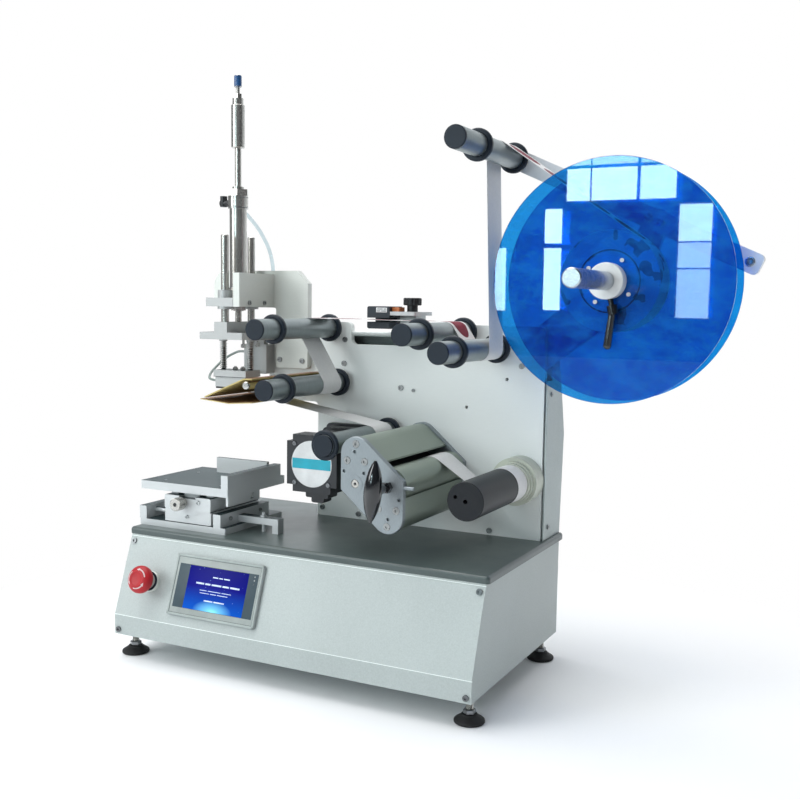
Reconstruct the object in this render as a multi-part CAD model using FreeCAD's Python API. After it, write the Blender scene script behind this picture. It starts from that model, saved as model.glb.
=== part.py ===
import FreeCAD, Part
import math
import os

os.makedirs("parts", exist_ok=True)

# Desktop flat surface labeling machine. Millimetres. While it is built, X is to the right, Y to the
# rear and Z up; X = 0 is the middle of the cabinet, Y = 0 the front face of the main plate and Z = 0
# the floor. At the end everything is moved so that the origin lies under the middle of the machine.

V = FreeCAD.Vector

# running and assembly clearances
run_fit = 0.05
loose_fit = 0.3

# cabinet
cabinet_half_width = 286.0
cabinet_sheet = 2.0
floor_gap = 35.2
skirt_front_y = -261.9
skirt_top_z = 64.6
slope_top_y = -222.0
slope_top_z = 176.0
cabinet_back_y = 67.7
cabinet_flange = 14.0
panel_screw_inset = 7.3
top_plate_thickness = 10.0
deck_z = 188.2
top_plate_half_width = 290.0
top_plate_front_y = -222.0
top_plate_back_y = 75.8
top_plate_round = 5.0
cable_hole_x = 100.0
cable_hole_y = 42.0

# levelling feet
foot_inset = 14.0
foot_x = cabinet_half_width - foot_inset
foot_front_y = -233.0
foot_back_y = 38.0
foot_pad_radius = 20.0
foot_pad_height = 12.0
foot_stud_radius = 5.0
foot_nut_radius = 8.5
foot_nut_height = 6.0

# operator panel
hmi_x = -115.0
hmi_z = 119.0
hmi_width = 152.0
hmi_height = 89.0
hmi_bezel = 5.0
hmi_round = 5.0
hmi_depth = 32.0
hmi_shoulder = 6.0
screen_width = 134.0
screen_height = 60.5
screen_thickness = 1.2

# emergency stop
estop_x = -231.0
estop_z = 116.3
estop_collar_radius = 14.8
estop_collar_height = 6.0
estop_barrel_radius = 11.0
estop_barrel_depth = 26.0
estop_stem_radius = 6.0
estop_pin_radius = 4.0
estop_head_radius = 20.0
estop_head_base = 12.5
estop_head_height = 24.5
estop_travel = 4.0

# main plate
plate_thickness = 10.0
plate_left_x = -96.0
plate_right_x = 279.2
plate_top_z = 497.0
ledge_left_x = -189.0
ledge_bottom_z = 370.0
notch_left_x = -37.0
notch_right_x = 138.0
notch_bottom_z = 463.0
plate_corner = 8.0

# rear cover
cover_sheet = 2.0
cover_left_x = -94.0
cover_right_x = 283.5
cover_foot_y = 75.0
cover_waist_y = 84.0
cover_waist_z = 338.0
cover_shoulder_y = 58.0
cover_shoulder_z = 440.0
cover_top_y = 40.0
cover_top_z = 478.0
cover_lip_y = 2.0

# guide rollers: name, x, z, front of the cap, front of the front collar, front of the rear collar
tube_radius = 15.0
tube_bore = 12.6
collar_radius = 21.2
collar_width = 8.0
cap_thickness = 3.5
spindle_radius = 6.0
spindle_shoulder_radius = 9.0
spindle_nut_radius = 8.0
spindle_nut_height = 6.0
roller_gap = 1.0
bush_length = 10.0
guide_rollers = [
    ("guide_roller_1", -68.8, 488.0, -216.5, -173.0, -16.0),
    ("guide_roller_2", -53.8, 403.9, -216.5, -171.6, -15.5),
    ("guide_roller_3", 158.1, 486.9, -215.8, -166.0, -16.6),
    ("guide_roller_4", 210.0, 465.0, -215.4, -171.0, -16.8),
    ("guide_roller_5", 36.4, 332.8, -206.0, -204.0, -16.3),
    ("guide_roller_6", 230.5, 731.2, -220.8, -152.2, -20.0),
]
top_roller = 5

# reel
reel_x = 390.0
reel_z = 559.4
disc_radius = 158.9
disc_thickness = 3.0
front_disc_y = -83.5
rear_disc_y = -26.5
reel_shaft_radius = 12.0
reel_shaft_front_y = -242.0
reel_shaft_back_y = 32.0
shaft_groove_y = -104.0
shaft_groove_width = 1.3
shaft_groove_depth = 0.6
reel_collar_radius = 23.5
reel_collar_front_y = -100.7
drum_radius = 37.5
drum_length = 33.5
flange_depth = 14.5
back_flange_radius = 40.0
back_flange_depth = 9.0
disc_screw_circle = 31.5
disc_screw_radius = 2.6
core_wall = 3.0
roll_radius = 66.0
disc_travel = 60.0
reel_housing_radius = 28.0
reel_housing_front_y = -14.0
arm_thickness = 12.0
arm_foot_x = 246.0
arm_foot_z = 446.0
arm_foot_radius = 26.0
arm_hub_radius = 34.0
strut_hub_radius = 24.0
strut_end_radius = 16.0
cross_half_width = 14.0
cross_front_y = -2.0
cross_end_x = 551.3
cross_end_z = 586.8
cross_overhang = 15.0
cross_joint_along = 216.0

# clamp lever on the reel collar
lever_angle = -76.5
lever_y = -92.0
lever_stem_radius = 3.5
lever_stem_length = 8.0
lever_hub_radius = 7.0
lever_hub_length = 12.0
lever_arm_length = 46.0
lever_arm_tilt = 20.0
lever_arm_root = 4.6
lever_arm_tip = 5.4

# label drive
drive_centre_x = 113.9
drive_centre_z = 286.0
kite_half_width = 47.2
kite_lobe_radius = 23.2
kite_lobe_z = 40.4
kite_corner_z = 9.5
drive_front_y = -209.0
drive_plate_thickness = 8.0
drive_rear_plate = 10.0
nip_roller_radius = 24.0
web_nip = 1.0
drive_shaft_radius = 6.0
drive_core_radius = 12.0
drive_bearing_radius = 11.0
guard_inset = 1.5
guard_roller_gap = 1.5
guard_edge_left_z = 300.0
guard_edge_right_z = 317.0
guard_edge_right_x = 131.0
drive_screw_circle = 15.4
drive_screw_radius = 5.0
drive_screw_sink = 3.0
drive_dowel_radius = 2.4
drive_dowels = [(-1.7, 2.9), (-17.7, -24.4), (12.7, -25.2)]
drive_pulley_radius = 20.0
motor_pulley_radius = 14.0
pulley_width = 12.0
pulley_y = 24.0
belt_thickness = 2.0
belt_margin = 1.0

# release knob on the drive
knob_stem_radius = 5.0
knob_stem_seat = 3.0
knob_nut_radius = 8.0
knob_nut_height = 8.0
knob_cone_radius = 9.5
knob_reach = 41.0
knob_grip_half = 41.0
knob_grip_radius = 12.0
knob_grip_back = 4.0
knob_lean = 5.0
release_stud_radius = 2.4
release_collar_radius = 3.0
release_stud_length = 14.0

# stepper motor
motor_x = -22.0
motor_z = 294.0
motor_half = 42.0
motor_mount_left = 53.0
motor_mount_right = 34.0
motor_mount_half_z = 45.0
motor_mount_thickness = 10.0
motor_spacer_half = 33.0
motor_spacer_depth = 8.0
motor_front_y = -140.0
motor_cap_length = 34.0
motor_stack_length = 66.0
motor_shaft_radius = 4.0
motor_shaft_depth = 20.0
motor_corner = 8.0
motor_notch = 10.0
gland_offset = 7.0
gland_half = 19.0
gland_step = 7.5
motor_boss_radius = 22.0

# rewind
rewind_x = 247.6
rewind_z = 276.4
rewind_radius = 25.6
rewind_front_y = -204.0
rewind_back_y = -44.3
rewind_shaft_radius = 10.0
rewind_steps = [(34.5, 0.0, -30.0), (30.0, -30.0, -37.0), (28.0, -37.0, -44.0)]

# peel plate
peel_front_y = -200.0
peel_back_y = -2.0
peel_tip_x = -174.5
peel_tip_z = 384.8
peel_lip_x = -124.7
peel_lip_z = 380.6
peel_top_tip_x = -167.0
peel_top_tip_z = 389.4
peel_fold_x = -98.0
peel_fold_z = 418.3
peel_heel_x = -84.0
peel_sheet = 1.8
peel_lip_sheet = 1.2
peel_cheek = 2.5
peel_rod_x = -94.0
peel_rod_z = 408.4
peel_rod_radius = 5.5

# press head
press_x = -208.0
press_y = -59.0
bracket_thickness = 12.0
bracket_left_x = -290.0
bracket_top_z = 576.0
bracket_low_z = 517.6
bracket_leg_left_x = -168.5
bracket_right_x = -109.5
bracket_leg_z = 422.4
bracket_chamfer = 20.0
bracket_round = 24.0
cheek_left_x = -185.0
cheek_thickness = 13.0
cheek_top_z = 570.0
block_left_x = -236.0
block_front_y = -106.0
block_bottom_z = 518.6
block_thickness = 13.4
rod_spacing = 70.0
guide_rod_radius = 6.0
guide_rod_top_z = 628.0
bush_radius = 9.0
bush_flange_radius = 11.4
bush_collar_radius = 11.0
bush_collar_height = 12.0
bush_flange_height = 4.0
cylinder_tube_radius = 13.5
cylinder_cap_radius = 15.5
cylinder_low_cap = 16.0
cylinder_top_cap_z = 669.8
cylinder_top_z = 689.7
gland_nut_radius = 17.0
gland_nut_height = 9.5
gland_radius = 9.0
gland_height = 4.2
nose_radius = 8.0
nose_nut_radius = 12.5
nose_nut_height = 6.0
piston_rod_radius = 5.0
stop_sleeve_radius = 10.5
stop_sleeve_low_z = 762.7
stop_sleeve_high_z = 827.6
lock_collar_radius = 8.5
lock_collar_high_z = 837.3
rod_nut_radius = 6.5
rod_nut_high_z = 844.1
rod_stem_radius = 3.0
rod_cap_low_z = 854.6
rod_cap_radius = 5.5
rod_cap_high_z = 872.5
clamp_bar_half = 12.0
clamp_bar_top_z = 494.9
carriage_left_x = -248.5
carriage_right_x = -167.5
carriage_back_y = -14.0
carriage_bottom_z = 468.0
carriage_top_z = 478.8
press_travel = 57.0
tool_x = -207.5
tool_y = -64.0
tool_half_x = 31.0
tool_half_y = 20.0
tool_bottom_z = 408.8
tool_top_z = 419.2
pad_half_x = 28.5
pad_half_y = 18.0
pad_bottom_z = 393.0
pad_rubber = 2.7
stud_offset = 26.0
stud_radius = 3.2
stud_head_radius = 5.0
stud_head_height = 3.0
stud_bush_radius = 6.5
stud_bush_height = 4.0
spring_inner = 3.8
spring_outer = 5.8
spring_end_gap = 0.3
float_travel = 8.0
valve_left_x = -220.0
valve_right_x = -177.0
valve_front_y = -27.0
valve_back_y = -4.0
valve_bottom_z = 412.0
valve_top_z = 459.0
valve_hanger_back_y = -15.0

# pneumatic fittings and hoses
elbow_z = 679.0
elbow_reach = 17.0
elbow_radius = 5.0
elbow_knob_radius = 5.6
elbow_knob_height = 11.0
outlet_radius = 4.2
outlet_length = 8.0
bulkhead_x = -190.0
bulkhead_z = 540.0
bulkhead_radius = 6.0
bulkhead_length = 16.0
hose_radius = 3.0
thin_hose_radius = 2.0
valve_port_z = 446.0
tool_port_z = 401.0
port_length = 6.0
port_radius = 4.0
air_inlet_x = 120.0
air_inlet_z = 80.0
air_inlet_radius = 8.0
air_inlet_length = 18.0

# label sensor
sensor_rod_y = 5.0
sensor_rod_z = 481.0
sensor_rod_radius = 3.0
sensor_block_left_x = 60.0
sensor_block_right_x = 86.0
sensor_block_front_y = -8.0
sensor_block_back_y = 9.4
sensor_block_bottom_z = 474.0
sensor_post_front_y = -24.0
sensor_plate_left_x = 55.0
sensor_plate_right_x = 97.0
sensor_plate_front_y = -50.0
sensor_plate_bottom_z = 509.5
sensor_plate_thickness = 5.4
fork_left_x = 18.0
fork_front_y = -50.0
fork_back_y = -8.0
fork_web_y = -24.0
fork_top_z = 522.5
fork_slot_top_z = 505.5
fork_slot_bottom_z = 499.5
fork_bottom_z = 489.5
thumb_x = 78.0
thumb_y = -20.0
thumb_hub_radius = 8.0
thumb_hub_height = 9.5
thumb_head_radius = 13.6
thumb_head_height = 11.1
thumb_stem_radius = 3.0
thumb_stem_depth = 14.0

# label web
web_front_y = -79.5
web_back_y = -27.5
web_thickness = 0.4
web_gap = 0.3

# positioning table
table_front_y = -200.0
table_back_y = -50.0
base_left_x = -290.0
base_right_x = -131.0
base_thickness = 9.5
rail_width = 13.0
rail_right_x = -139.7
rail_height = 19.3
rail_back_y = -75.0
slide_rod_radius = 4.0
slide_rod_z = 208.3
slide_rod_front_y = -175.4
slide_rod_back_y = -99.0
slide_left_x = -242.0
slide_right_x = -157.5
slide_back_y = -76.0
slide_lift = 1.1
slide_lower_height = 19.7
slide_upper_height = 20.3
key_half_width = 14.0
key_flare = 2.0
key_depth = 3.3
wear_strip_width = 12.0
wear_strip_inset = 4.0
table_lift = 4.8
table_left_x = -287.0
table_right_x = -126.5
table_thickness = 12.4
skirt_thickness = 4.0
skirt_depth = 13.0
skirt_back_y = -119.0
skirt_slot_front_y = -143.0
skirt_slot_back_y = -133.0
fence_thickness = 12.0
fence_height = 19.6
fence_back_y = -62.0
back_fence_left_x = -234.0
back_fence_front_y = -82.0
back_fence_thickness = 6.0
back_fence_height = 24.0
fixture_hole_radius = 2.5
fixture_x = -206.0
fixture_y = -138.0
fixture_pitch_x = 104.0
fixture_pitch_y = 80.0
table_knob_x = -205.0
table_knob_z = 229.5
table_knob_radius = 9.9
table_knob_length = 15.0
table_knob_stem = 4.0
table_knob_standoff = 7.0
table_knob_seat = 12.0
cross_travel_left = 32.0
cross_travel_right = 4.0
table_travel = 12.0
clamp_right_x = -69.0
clamp_front_y = -156.0
clamp_width = 15.0
clamp_bottom_z = 200.0
clamp_thickness = 10.0
clamp_foot = 10.0
clamp_bolt_x = -98.7
clamp_bolt_radius = 3.0
clamp_bolt_top_z = 217.0

# fastener heads
screw_radius = 4.2
screw_height = 2.2
screw_hex = 2.1
screw_hex_depth = 1.4

# power inlet on the back of the cabinet
inlet_x = 200.0
inlet_z = 80.0
inlet_width = 48.0
inlet_height = 28.0
inlet_depth = 22.0
inlet_flange = 2.0


def box(x0, x1, y0, y1, z0, z1):
    return Part.makeBox(x1 - x0, y1 - y0, z1 - z0, V(x0, y0, z0))


def rod_x(y, z, radius, x0, x1):
    return Part.makeCylinder(radius, x1 - x0, V(x0, y, z), V(1, 0, 0))


def rod_y(x, z, radius, y0, y1):
    return Part.makeCylinder(radius, y1 - y0, V(x, y0, z), V(0, 1, 0))


def rod_z(x, y, radius, z0, z1):
    return Part.makeCylinder(radius, z1 - z0, V(x, y, z0), V(0, 0, 1))


def ring_y(x, z, outer, inner, y0, y1):
    return rod_y(x, z, outer, y0, y1).cut(rod_y(x, z, inner, y0, y1))


def ring_z(x, y, outer, inner, z0, z1):
    return rod_z(x, y, outer, z0, z1).cut(rod_z(x, y, inner, z0, z1))


def face_of(points):
    return Part.Face(Part.makePolygon(points + [points[0]]))


def prism_xz(points, y0, y1):
    """Extrudes an outline in the X-Z plane from y0 to y1."""
    return face_of([V(x, y0, z) for x, z in points]).extrude(V(0, y1 - y0, 0))


def prism_yz(points, x0, x1):
    """Extrudes an outline in the Y-Z plane from x0 to x1."""
    return face_of([V(x0, y, z) for y, z in points]).extrude(V(x1 - x0, 0, 0))


def hexagon_y(x, z, radius, y0, y1):
    points = []
    for step in range(6):
        turn = math.radians(60 * step)
        points.append((x + radius * math.cos(turn), z + radius * math.sin(turn)))
    return prism_xz(points, y0, y1)


def hexagon_z(x, y, radius, z0, z1):
    points = []
    for step in range(6):
        turn = math.radians(60 * step)
        points.append(V(x + radius * math.cos(turn), y + radius * math.sin(turn), z0))
    return face_of(points).extrude(V(0, 0, z1 - z0))


def straight_edges(shape, axis, keep):
    """Straight edges of a shape that run along one axis and whose middle passes a test."""
    found = []
    for edge in shape.Edges:
        if len(edge.Vertexes) != 2:
            continue
        run = edge.Vertexes[1].Point.sub(edge.Vertexes[0].Point)
        if run.Length < 1e-6 or abs(abs(run.normalize().dot(axis)) - 1) > 1e-6:
            continue
        middle = edge.CenterOfMass
        if keep(middle):
            found.append(edge)
    return found


def round_edges(shape, radius, axis, keep=lambda point: True):
    return shape.makeFillet(radius, straight_edges(shape, axis, keep))


def tangent_bar(x1, z1, r1, x2, z2, r2, y0, y1):
    """A flat bar around two circles, joined by their outer tangents."""
    gap = math.hypot(x2 - x1, z2 - z1)
    along = math.atan2(z2 - z1, x2 - x1)
    lean = math.acos((r1 - r2) / gap)
    corners = []
    for x, z, radius, turn in ((x1, z1, r1, along + lean), (x2, z2, r2, along + lean),
                               (x2, z2, r2, along - lean), (x1, z1, r1, along - lean)):
        corners.append((x + radius * math.cos(turn), z + radius * math.sin(turn)))
    bar = prism_xz(corners, y0, y1)
    bar = bar.fuse([rod_y(x1, z1, r1, y0, y1), rod_y(x2, z2, r2, y0, y1)])
    return bar.removeSplitter()


def revolved(profile, base, axis, across):
    """Turns a closed (radius, height) profile about the axis through base."""
    points = [base + across * radius + axis * height for radius, height in profile]
    return face_of(points).revolve(base, axis, 360)


def screw(base, outward, radius=screw_radius, height=screw_height):
    """A cap screw head standing on a face, with its hexagon socket."""
    head = Part.makeCylinder(radius, height, base, outward)
    side = V(0, 0, 1) if abs(outward.z) < 0.5 else V(1, 0, 0)
    cross = outward.cross(side).normalize()
    side = cross.cross(outward)
    points = []
    for step in range(6):
        turn = math.radians(60 * step)
        reach = side * (screw_hex * math.cos(turn)) + cross * (screw_hex * math.sin(turn))
        points.append(base + outward * (height - screw_hex_depth) + reach)
    return head.cut(face_of(points).extrude(outward * screw_hex_depth))


def hose(points, radius):
    """A round tube along straight runs joined by tangent arcs as large as the runs allow."""
    edges = []
    start = points[0]
    for here, before, after in zip(points[1:-1], points[:-2], points[2:]):
        back = (before - here)
        onward = (after - here)
        shorter = min(back.Length, onward.Length)
        back.normalize()
        onward.normalize()
        turn = math.pi - back.getAngle(onward)
        bend = 0.45 * shorter / math.tan(turn / 2)
        print("hose bend radius %.1f" % bend)
        first = here + back * (0.45 * shorter)
        last = here + onward * (0.45 * shorter)
        inward = (back + onward).normalize()
        centre = here + inward * (bend / math.cos(turn / 2))
        middle = centre - inward * bend
        edges.append(Part.LineSegment(start, first).toShape())
        edges.append(Part.Arc(first, middle, last).toShape())
        start = last
    edges.append(Part.LineSegment(start, points[-1]).toShape())
    path = Part.Wire(edges)
    circle = Part.Wire(Part.makeCircle(radius, points[0], points[1] - points[0]))
    tube = path.makePipeShell([circle], True, False)
    print("hose length %.1f, volume over section %.1f" % (path.Length,
          tube.Volume / (math.pi * radius ** 2)))
    return tube


nodes = {}


def add(name, *solids):
    nodes[name] = list(solids)


# heights and planes that follow from the driving sizes
top_plate_bottom_z = deck_z - top_plate_thickness
slope_run = (slope_top_y - skirt_front_y) / (slope_top_z - skirt_top_z)
slope_angle = math.degrees(math.atan2(slope_top_z - skirt_top_z, slope_top_y - skirt_front_y))


def slope_y(z, depth=0.0):
    """Y on the sloping front at a height, as deep as asked behind its face."""
    inward = depth / math.sin(math.radians(slope_angle))
    return skirt_front_y + (z - skirt_top_z) * slope_run + inward


def fold_z(depth):
    """Height of the fold between skirt and slope, at a depth behind the face."""
    return skirt_top_z - depth * math.tan(math.radians(90 - slope_angle) / 2)


def front_profile(depth, top_z, bottom_z):
    return [(skirt_front_y + depth, bottom_z), (skirt_front_y + depth, fold_z(depth)),
            (slope_y(top_z, depth), top_z)]


def on_slope(shape, x, z):
    """Moves a shape from the panel's own axes to a place on the sloping front."""
    moved = shape.copy()
    turn = FreeCAD.Rotation(V(1, 0, 0), slope_angle)
    moved.Placement = FreeCAD.Placement(V(x, slope_y(z), z), turn).multiply(moved.Placement)
    return moved


slope_out = V(0, -math.sin(math.radians(slope_angle)), math.cos(math.radians(slope_angle)))


def build_feet():
    solids = []
    for side in (-1, 1):
        for y in (foot_front_y, foot_back_y):
            x = side * foot_x
            profile = [(0, 0), (foot_pad_radius, 0), (foot_pad_radius, foot_pad_height * 0.3),
                       (foot_pad_radius * 0.6, foot_pad_height * 0.8),
                       (foot_pad_radius * 0.5, foot_pad_height), (0, foot_pad_height)]
            solids.append(revolved(profile, V(x, y, 0), V(0, 0, 1), V(1, 0, 0)))
            stud_top = floor_gap + cabinet_sheet + foot_nut_height
            stud = rod_z(x, y, foot_stud_radius, foot_pad_height, stud_top)
            low_nut = hexagon_z(x, y, foot_nut_radius, foot_pad_height, foot_pad_height + foot_nut_height)
            lock_nut = hexagon_z(x, y, foot_nut_radius, floor_gap - foot_nut_height, floor_gap)
            solids.append(stud.fuse([low_nut, lock_nut]).removeSplitter())
    add("leveling_feet", *solids)


def build_cabinet():
    sheet = cabinet_sheet
    half = cabinet_half_width
    outer = front_profile(sheet, top_plate_bottom_z, floor_gap)
    outer += [(cabinet_back_y, top_plate_bottom_z), (cabinet_back_y, floor_gap)]
    inner_floor = floor_gap + sheet
    inner = front_profile(2 * sheet, top_plate_bottom_z, inner_floor)
    inner += [(cabinet_back_y - sheet, top_plate_bottom_z), (cabinet_back_y - sheet, inner_floor)]
    body = prism_yz(outer, -half, half).cut(prism_yz(inner, -half + sheet, half - sheet))
    opening_low = floor_gap + cabinet_flange
    opening_high = top_plate_bottom_z - cabinet_flange
    reach = skirt_front_y + 4 * sheet + (opening_high - skirt_top_z) * slope_run
    opening = box(-half + cabinet_flange, half - cabinet_flange, skirt_front_y, reach,
                  opening_low, opening_high)
    body = body.cut(opening)
    for side in (-1, 1):
        for y in (foot_front_y, foot_back_y):
            body = body.cut(rod_z(side * foot_x, y, foot_stud_radius + loose_fit,
                                  floor_gap, inner_floor))
    wall = (cabinet_back_y - sheet, cabinet_back_y)
    body = body.cut(box(inlet_x - inlet_width / 2, inlet_x + inlet_width / 2, wall[0], wall[1],
                        inlet_z - inlet_height / 2, inlet_z + inlet_height / 2))
    body = body.cut(rod_y(air_inlet_x, air_inlet_z, air_inlet_radius, wall[0], wall[1]))
    add("cabinet_body", body)

    face = front_profile(0, top_plate_bottom_z, floor_gap)
    back = front_profile(sheet, top_plate_bottom_z, floor_gap)
    panel = prism_yz(face + back[::-1], -half, half)
    window = box(-hmi_width / 2 + hmi_shoulder, hmi_width / 2 - hmi_shoulder,
                 -hmi_height / 2 + hmi_shoulder, hmi_height / 2 - hmi_shoulder, -2 * sheet, sheet)
    panel = panel.cut(on_slope(window, hmi_x, hmi_z))
    hole = rod_z(0, 0, estop_barrel_radius + loose_fit, -2 * sheet, sheet)
    panel = panel.cut(on_slope(hole, estop_x, estop_z))
    add("front_panel", panel)

    plate = box(-top_plate_half_width, top_plate_half_width, top_plate_front_y, top_plate_back_y,
                top_plate_bottom_z, deck_z)
    plate = round_edges(plate, top_plate_round, V(0, 0, 1))
    top_edges = [edge for edge in plate.Edges if abs(edge.BoundBox.ZMin - deck_z) < 1e-6]
    plate = plate.makeFillet(top_plate_round * 0.9, top_edges)
    plate = plate.cut(rod_z(cable_hole_x, cable_hole_y, cabinet_flange, top_plate_bottom_z, deck_z))
    add("top_plate", plate)

    unit = box(-60, 80, -120, 40, inner_floor, inner_floor + 60)
    supply = box(120, 220, -150, -60, inner_floor, inner_floor + 45)
    add("control_unit", round_edges(unit, 3, V(0, 0, 1)), round_edges(supply, 3, V(0, 0, 1)))

    flange_x = inlet_width / 2 + 4
    flange_z = inlet_height / 2 + 4
    socket = box(inlet_x - flange_x, inlet_x + flange_x, cabinet_back_y, cabinet_back_y + inlet_flange,
                 inlet_z - flange_z, inlet_z + flange_z)
    socket = round_edges(socket, 3, V(0, 1, 0))
    shell = box(inlet_x - inlet_width / 2 + loose_fit, inlet_x + inlet_width / 2 - loose_fit,
                cabinet_back_y - inlet_depth, cabinet_back_y,
                inlet_z - inlet_height / 2 + loose_fit, inlet_z + inlet_height / 2 - loose_fit)
    recess = box(inlet_x - inlet_width / 2 + 3, inlet_x + 3, cabinet_back_y - inlet_depth + 4,
                 cabinet_back_y + inlet_flange, inlet_z - 11, inlet_z + 11)
    socket = socket.fuse(shell).removeSplitter().cut(recess)
    blades = []
    for place in (-14, -7, 0):
        x = inlet_x - 3.5 + place
        lift = 3 if place == -7 else -2
        blades.append(box(x - 1.2, x + 1.2, cabinet_back_y - inlet_depth + 4,
                          cabinet_back_y - 4, inlet_z + lift - 3, inlet_z + lift + 3))
    rocker = box(inlet_x + 6, inlet_x + 20, cabinet_back_y + inlet_flange,
                 cabinet_back_y + inlet_flange + 2.5, inlet_z - 10, inlet_z + 10)
    add("power_inlet", socket, *blades, rocker)


def build_operator_panel():
    half_x = hmi_width / 2
    half_y = hmi_height / 2
    bezel = round_edges(box(-half_x, half_x, -half_y, half_y, 0, hmi_bezel), hmi_round, V(0, 0, 1))
    bezel = round_edges(bezel, 1.5, V(1, 0, 0), lambda p: p.z > hmi_bezel - 0.1)
    recess = box(-screen_width / 2, screen_width / 2, -screen_height / 2, screen_height / 2,
                 hmi_bezel - screen_thickness, hmi_bezel)
    inset = hmi_shoulder + loose_fit
    rear = box(-half_x + inset, half_x - inset, -half_y + inset, half_y - inset, -hmi_depth, 0)
    housing = bezel.cut(recess).fuse(rear).removeSplitter()
    add("hmi_housing", on_slope(housing, hmi_x, hmi_z))
    gap = loose_fit / 2
    screen = box(-screen_width / 2 + gap, screen_width / 2 - gap, -screen_height / 2 + gap,
                 screen_height / 2 - gap, hmi_bezel - screen_thickness, hmi_bezel)
    add("hmi_screen", on_slope(screen, hmi_x, hmi_z))

    collar = rod_z(0, 0, estop_collar_radius, 0, estop_collar_height)
    collar = collar.makeChamfer(1.2, [e for e in collar.Edges if e.BoundBox.ZMin > estop_collar_height - 0.1])
    barrel = rod_z(0, 0, estop_barrel_radius, -estop_barrel_depth, 0)
    nut = hexagon_z(0, 0, estop_collar_radius, -cabinet_sheet - 6, -cabinet_sheet)
    block = box(-15, 15, -15, 15, -estop_barrel_depth - 30, -estop_barrel_depth)
    bore = rod_z(0, 0, estop_stem_radius + run_fit, -estop_barrel_depth, estop_collar_height)
    collar = collar.fuse([barrel, nut, block]).removeSplitter().cut(bore)
    add("estop_collar", on_slope(collar, estop_x, estop_z))

    stem_low = -estop_barrel_depth + estop_travel + loose_fit
    stem = rod_z(0, 0, estop_stem_radius, stem_low, estop_head_base - run_fit)
    pin = rod_z(0, 0, estop_pin_radius, estop_head_base - run_fit, estop_head_base + 11)
    add("estop_stem", on_slope(stem.fuse(pin).removeSplitter(), estop_x, estop_z))

    low = estop_head_base
    high = estop_head_base + estop_head_height
    bore = estop_pin_radius + run_fit
    profile = [(bore, low), (10, low), (11.5, low + 6), (estop_head_radius - 2, low + 8.5),
               (estop_head_radius, low + 12), (estop_head_radius, low + 17),
               (estop_head_radius - 3, high - 3), (estop_head_radius * 0.5, high - 0.4),
               (0, high), (0, low + 11.5), (bore, low + 11.5)]
    head = revolved(profile, V(0, 0, 0), V(0, 0, 1), V(1, 0, 0))
    add("estop_mushroom", on_slope(head, estop_x, estop_z))


def build_main_plate():
    outline = [(plate_left_x, deck_z), (plate_right_x, deck_z), (plate_right_x, plate_top_z),
               (notch_right_x, plate_top_z), (notch_right_x, notch_bottom_z),
               (notch_left_x, notch_bottom_z), (notch_left_x, plate_top_z),
               (ledge_left_x, plate_top_z), (ledge_left_x, ledge_bottom_z),
               (plate_left_x, ledge_bottom_z)]
    plate = prism_xz(outline, 0, plate_thickness)
    plate = round_edges(plate, plate_corner, V(0, 1, 0), lambda p: p.z > deck_z + 1)
    bores = [(drive_x, drive_z, drive_shaft_radius + 2), (motor_x, motor_z, motor_shaft_radius + 4),
             (rewind_x, rewind_z, rewind_shaft_radius + 1), (159.7, 375.9, 2.5), (222.3, 419.8, 2.5)]
    bores += [(x, z, spindle_radius + run_fit) for _, x, z, _, _, _ in guide_rollers[:top_roller]]
    for x, z, radius in bores:
        plate = plate.cut(rod_y(x, z, radius, 0, plate_thickness))
    rod = rod_x(sensor_rod_y, sensor_rod_z, sensor_rod_radius, notch_left_x, notch_right_x)
    add("main_plate", plate, rod)

    back = plate_thickness
    outer = [(back, deck_z), (cover_foot_y, deck_z), (cover_waist_y, cover_waist_z),
             (cover_shoulder_y, cover_shoulder_z), (cover_top_y, cover_top_z), (back, cover_top_z)]
    sheet = cover_sheet
    inner = [(back, deck_z), (cover_foot_y - sheet, deck_z), (cover_waist_y - sheet, cover_waist_z),
             (cover_shoulder_y - sheet, cover_shoulder_z - sheet / 2),
             (cover_top_y - sheet, cover_top_z - sheet), (back, cover_top_z - sheet)]
    cover = prism_yz(outer, cover_left_x, cover_right_x)
    cover = cover.cut(prism_yz(inner, cover_left_x + sheet, cover_right_x - sheet))
    lip = box(cover_right_x - sheet, cover_right_x, cover_lip_y, back, deck_z, cover_top_z)
    notch = box(arm_foot_x - arm_foot_radius - 2, cover_right_x, cover_lip_y,
                back + arm_thickness + 2, arm_foot_z - arm_foot_radius, cover_top_z)
    cover = cover.fuse(lip).removeSplitter().cut(notch)
    add("rear_cover", cover)


drive_gap = 2 * nip_roller_radius + web_nip
drive_x = drive_centre_x - drive_gap / 2
nip_x = drive_centre_x + drive_gap / 2
drive_z = drive_centre_z
knob_seat_x = nip_x
knob_seat_z = drive_z
drive_plate_back_y = drive_front_y + drive_plate_thickness


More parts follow.
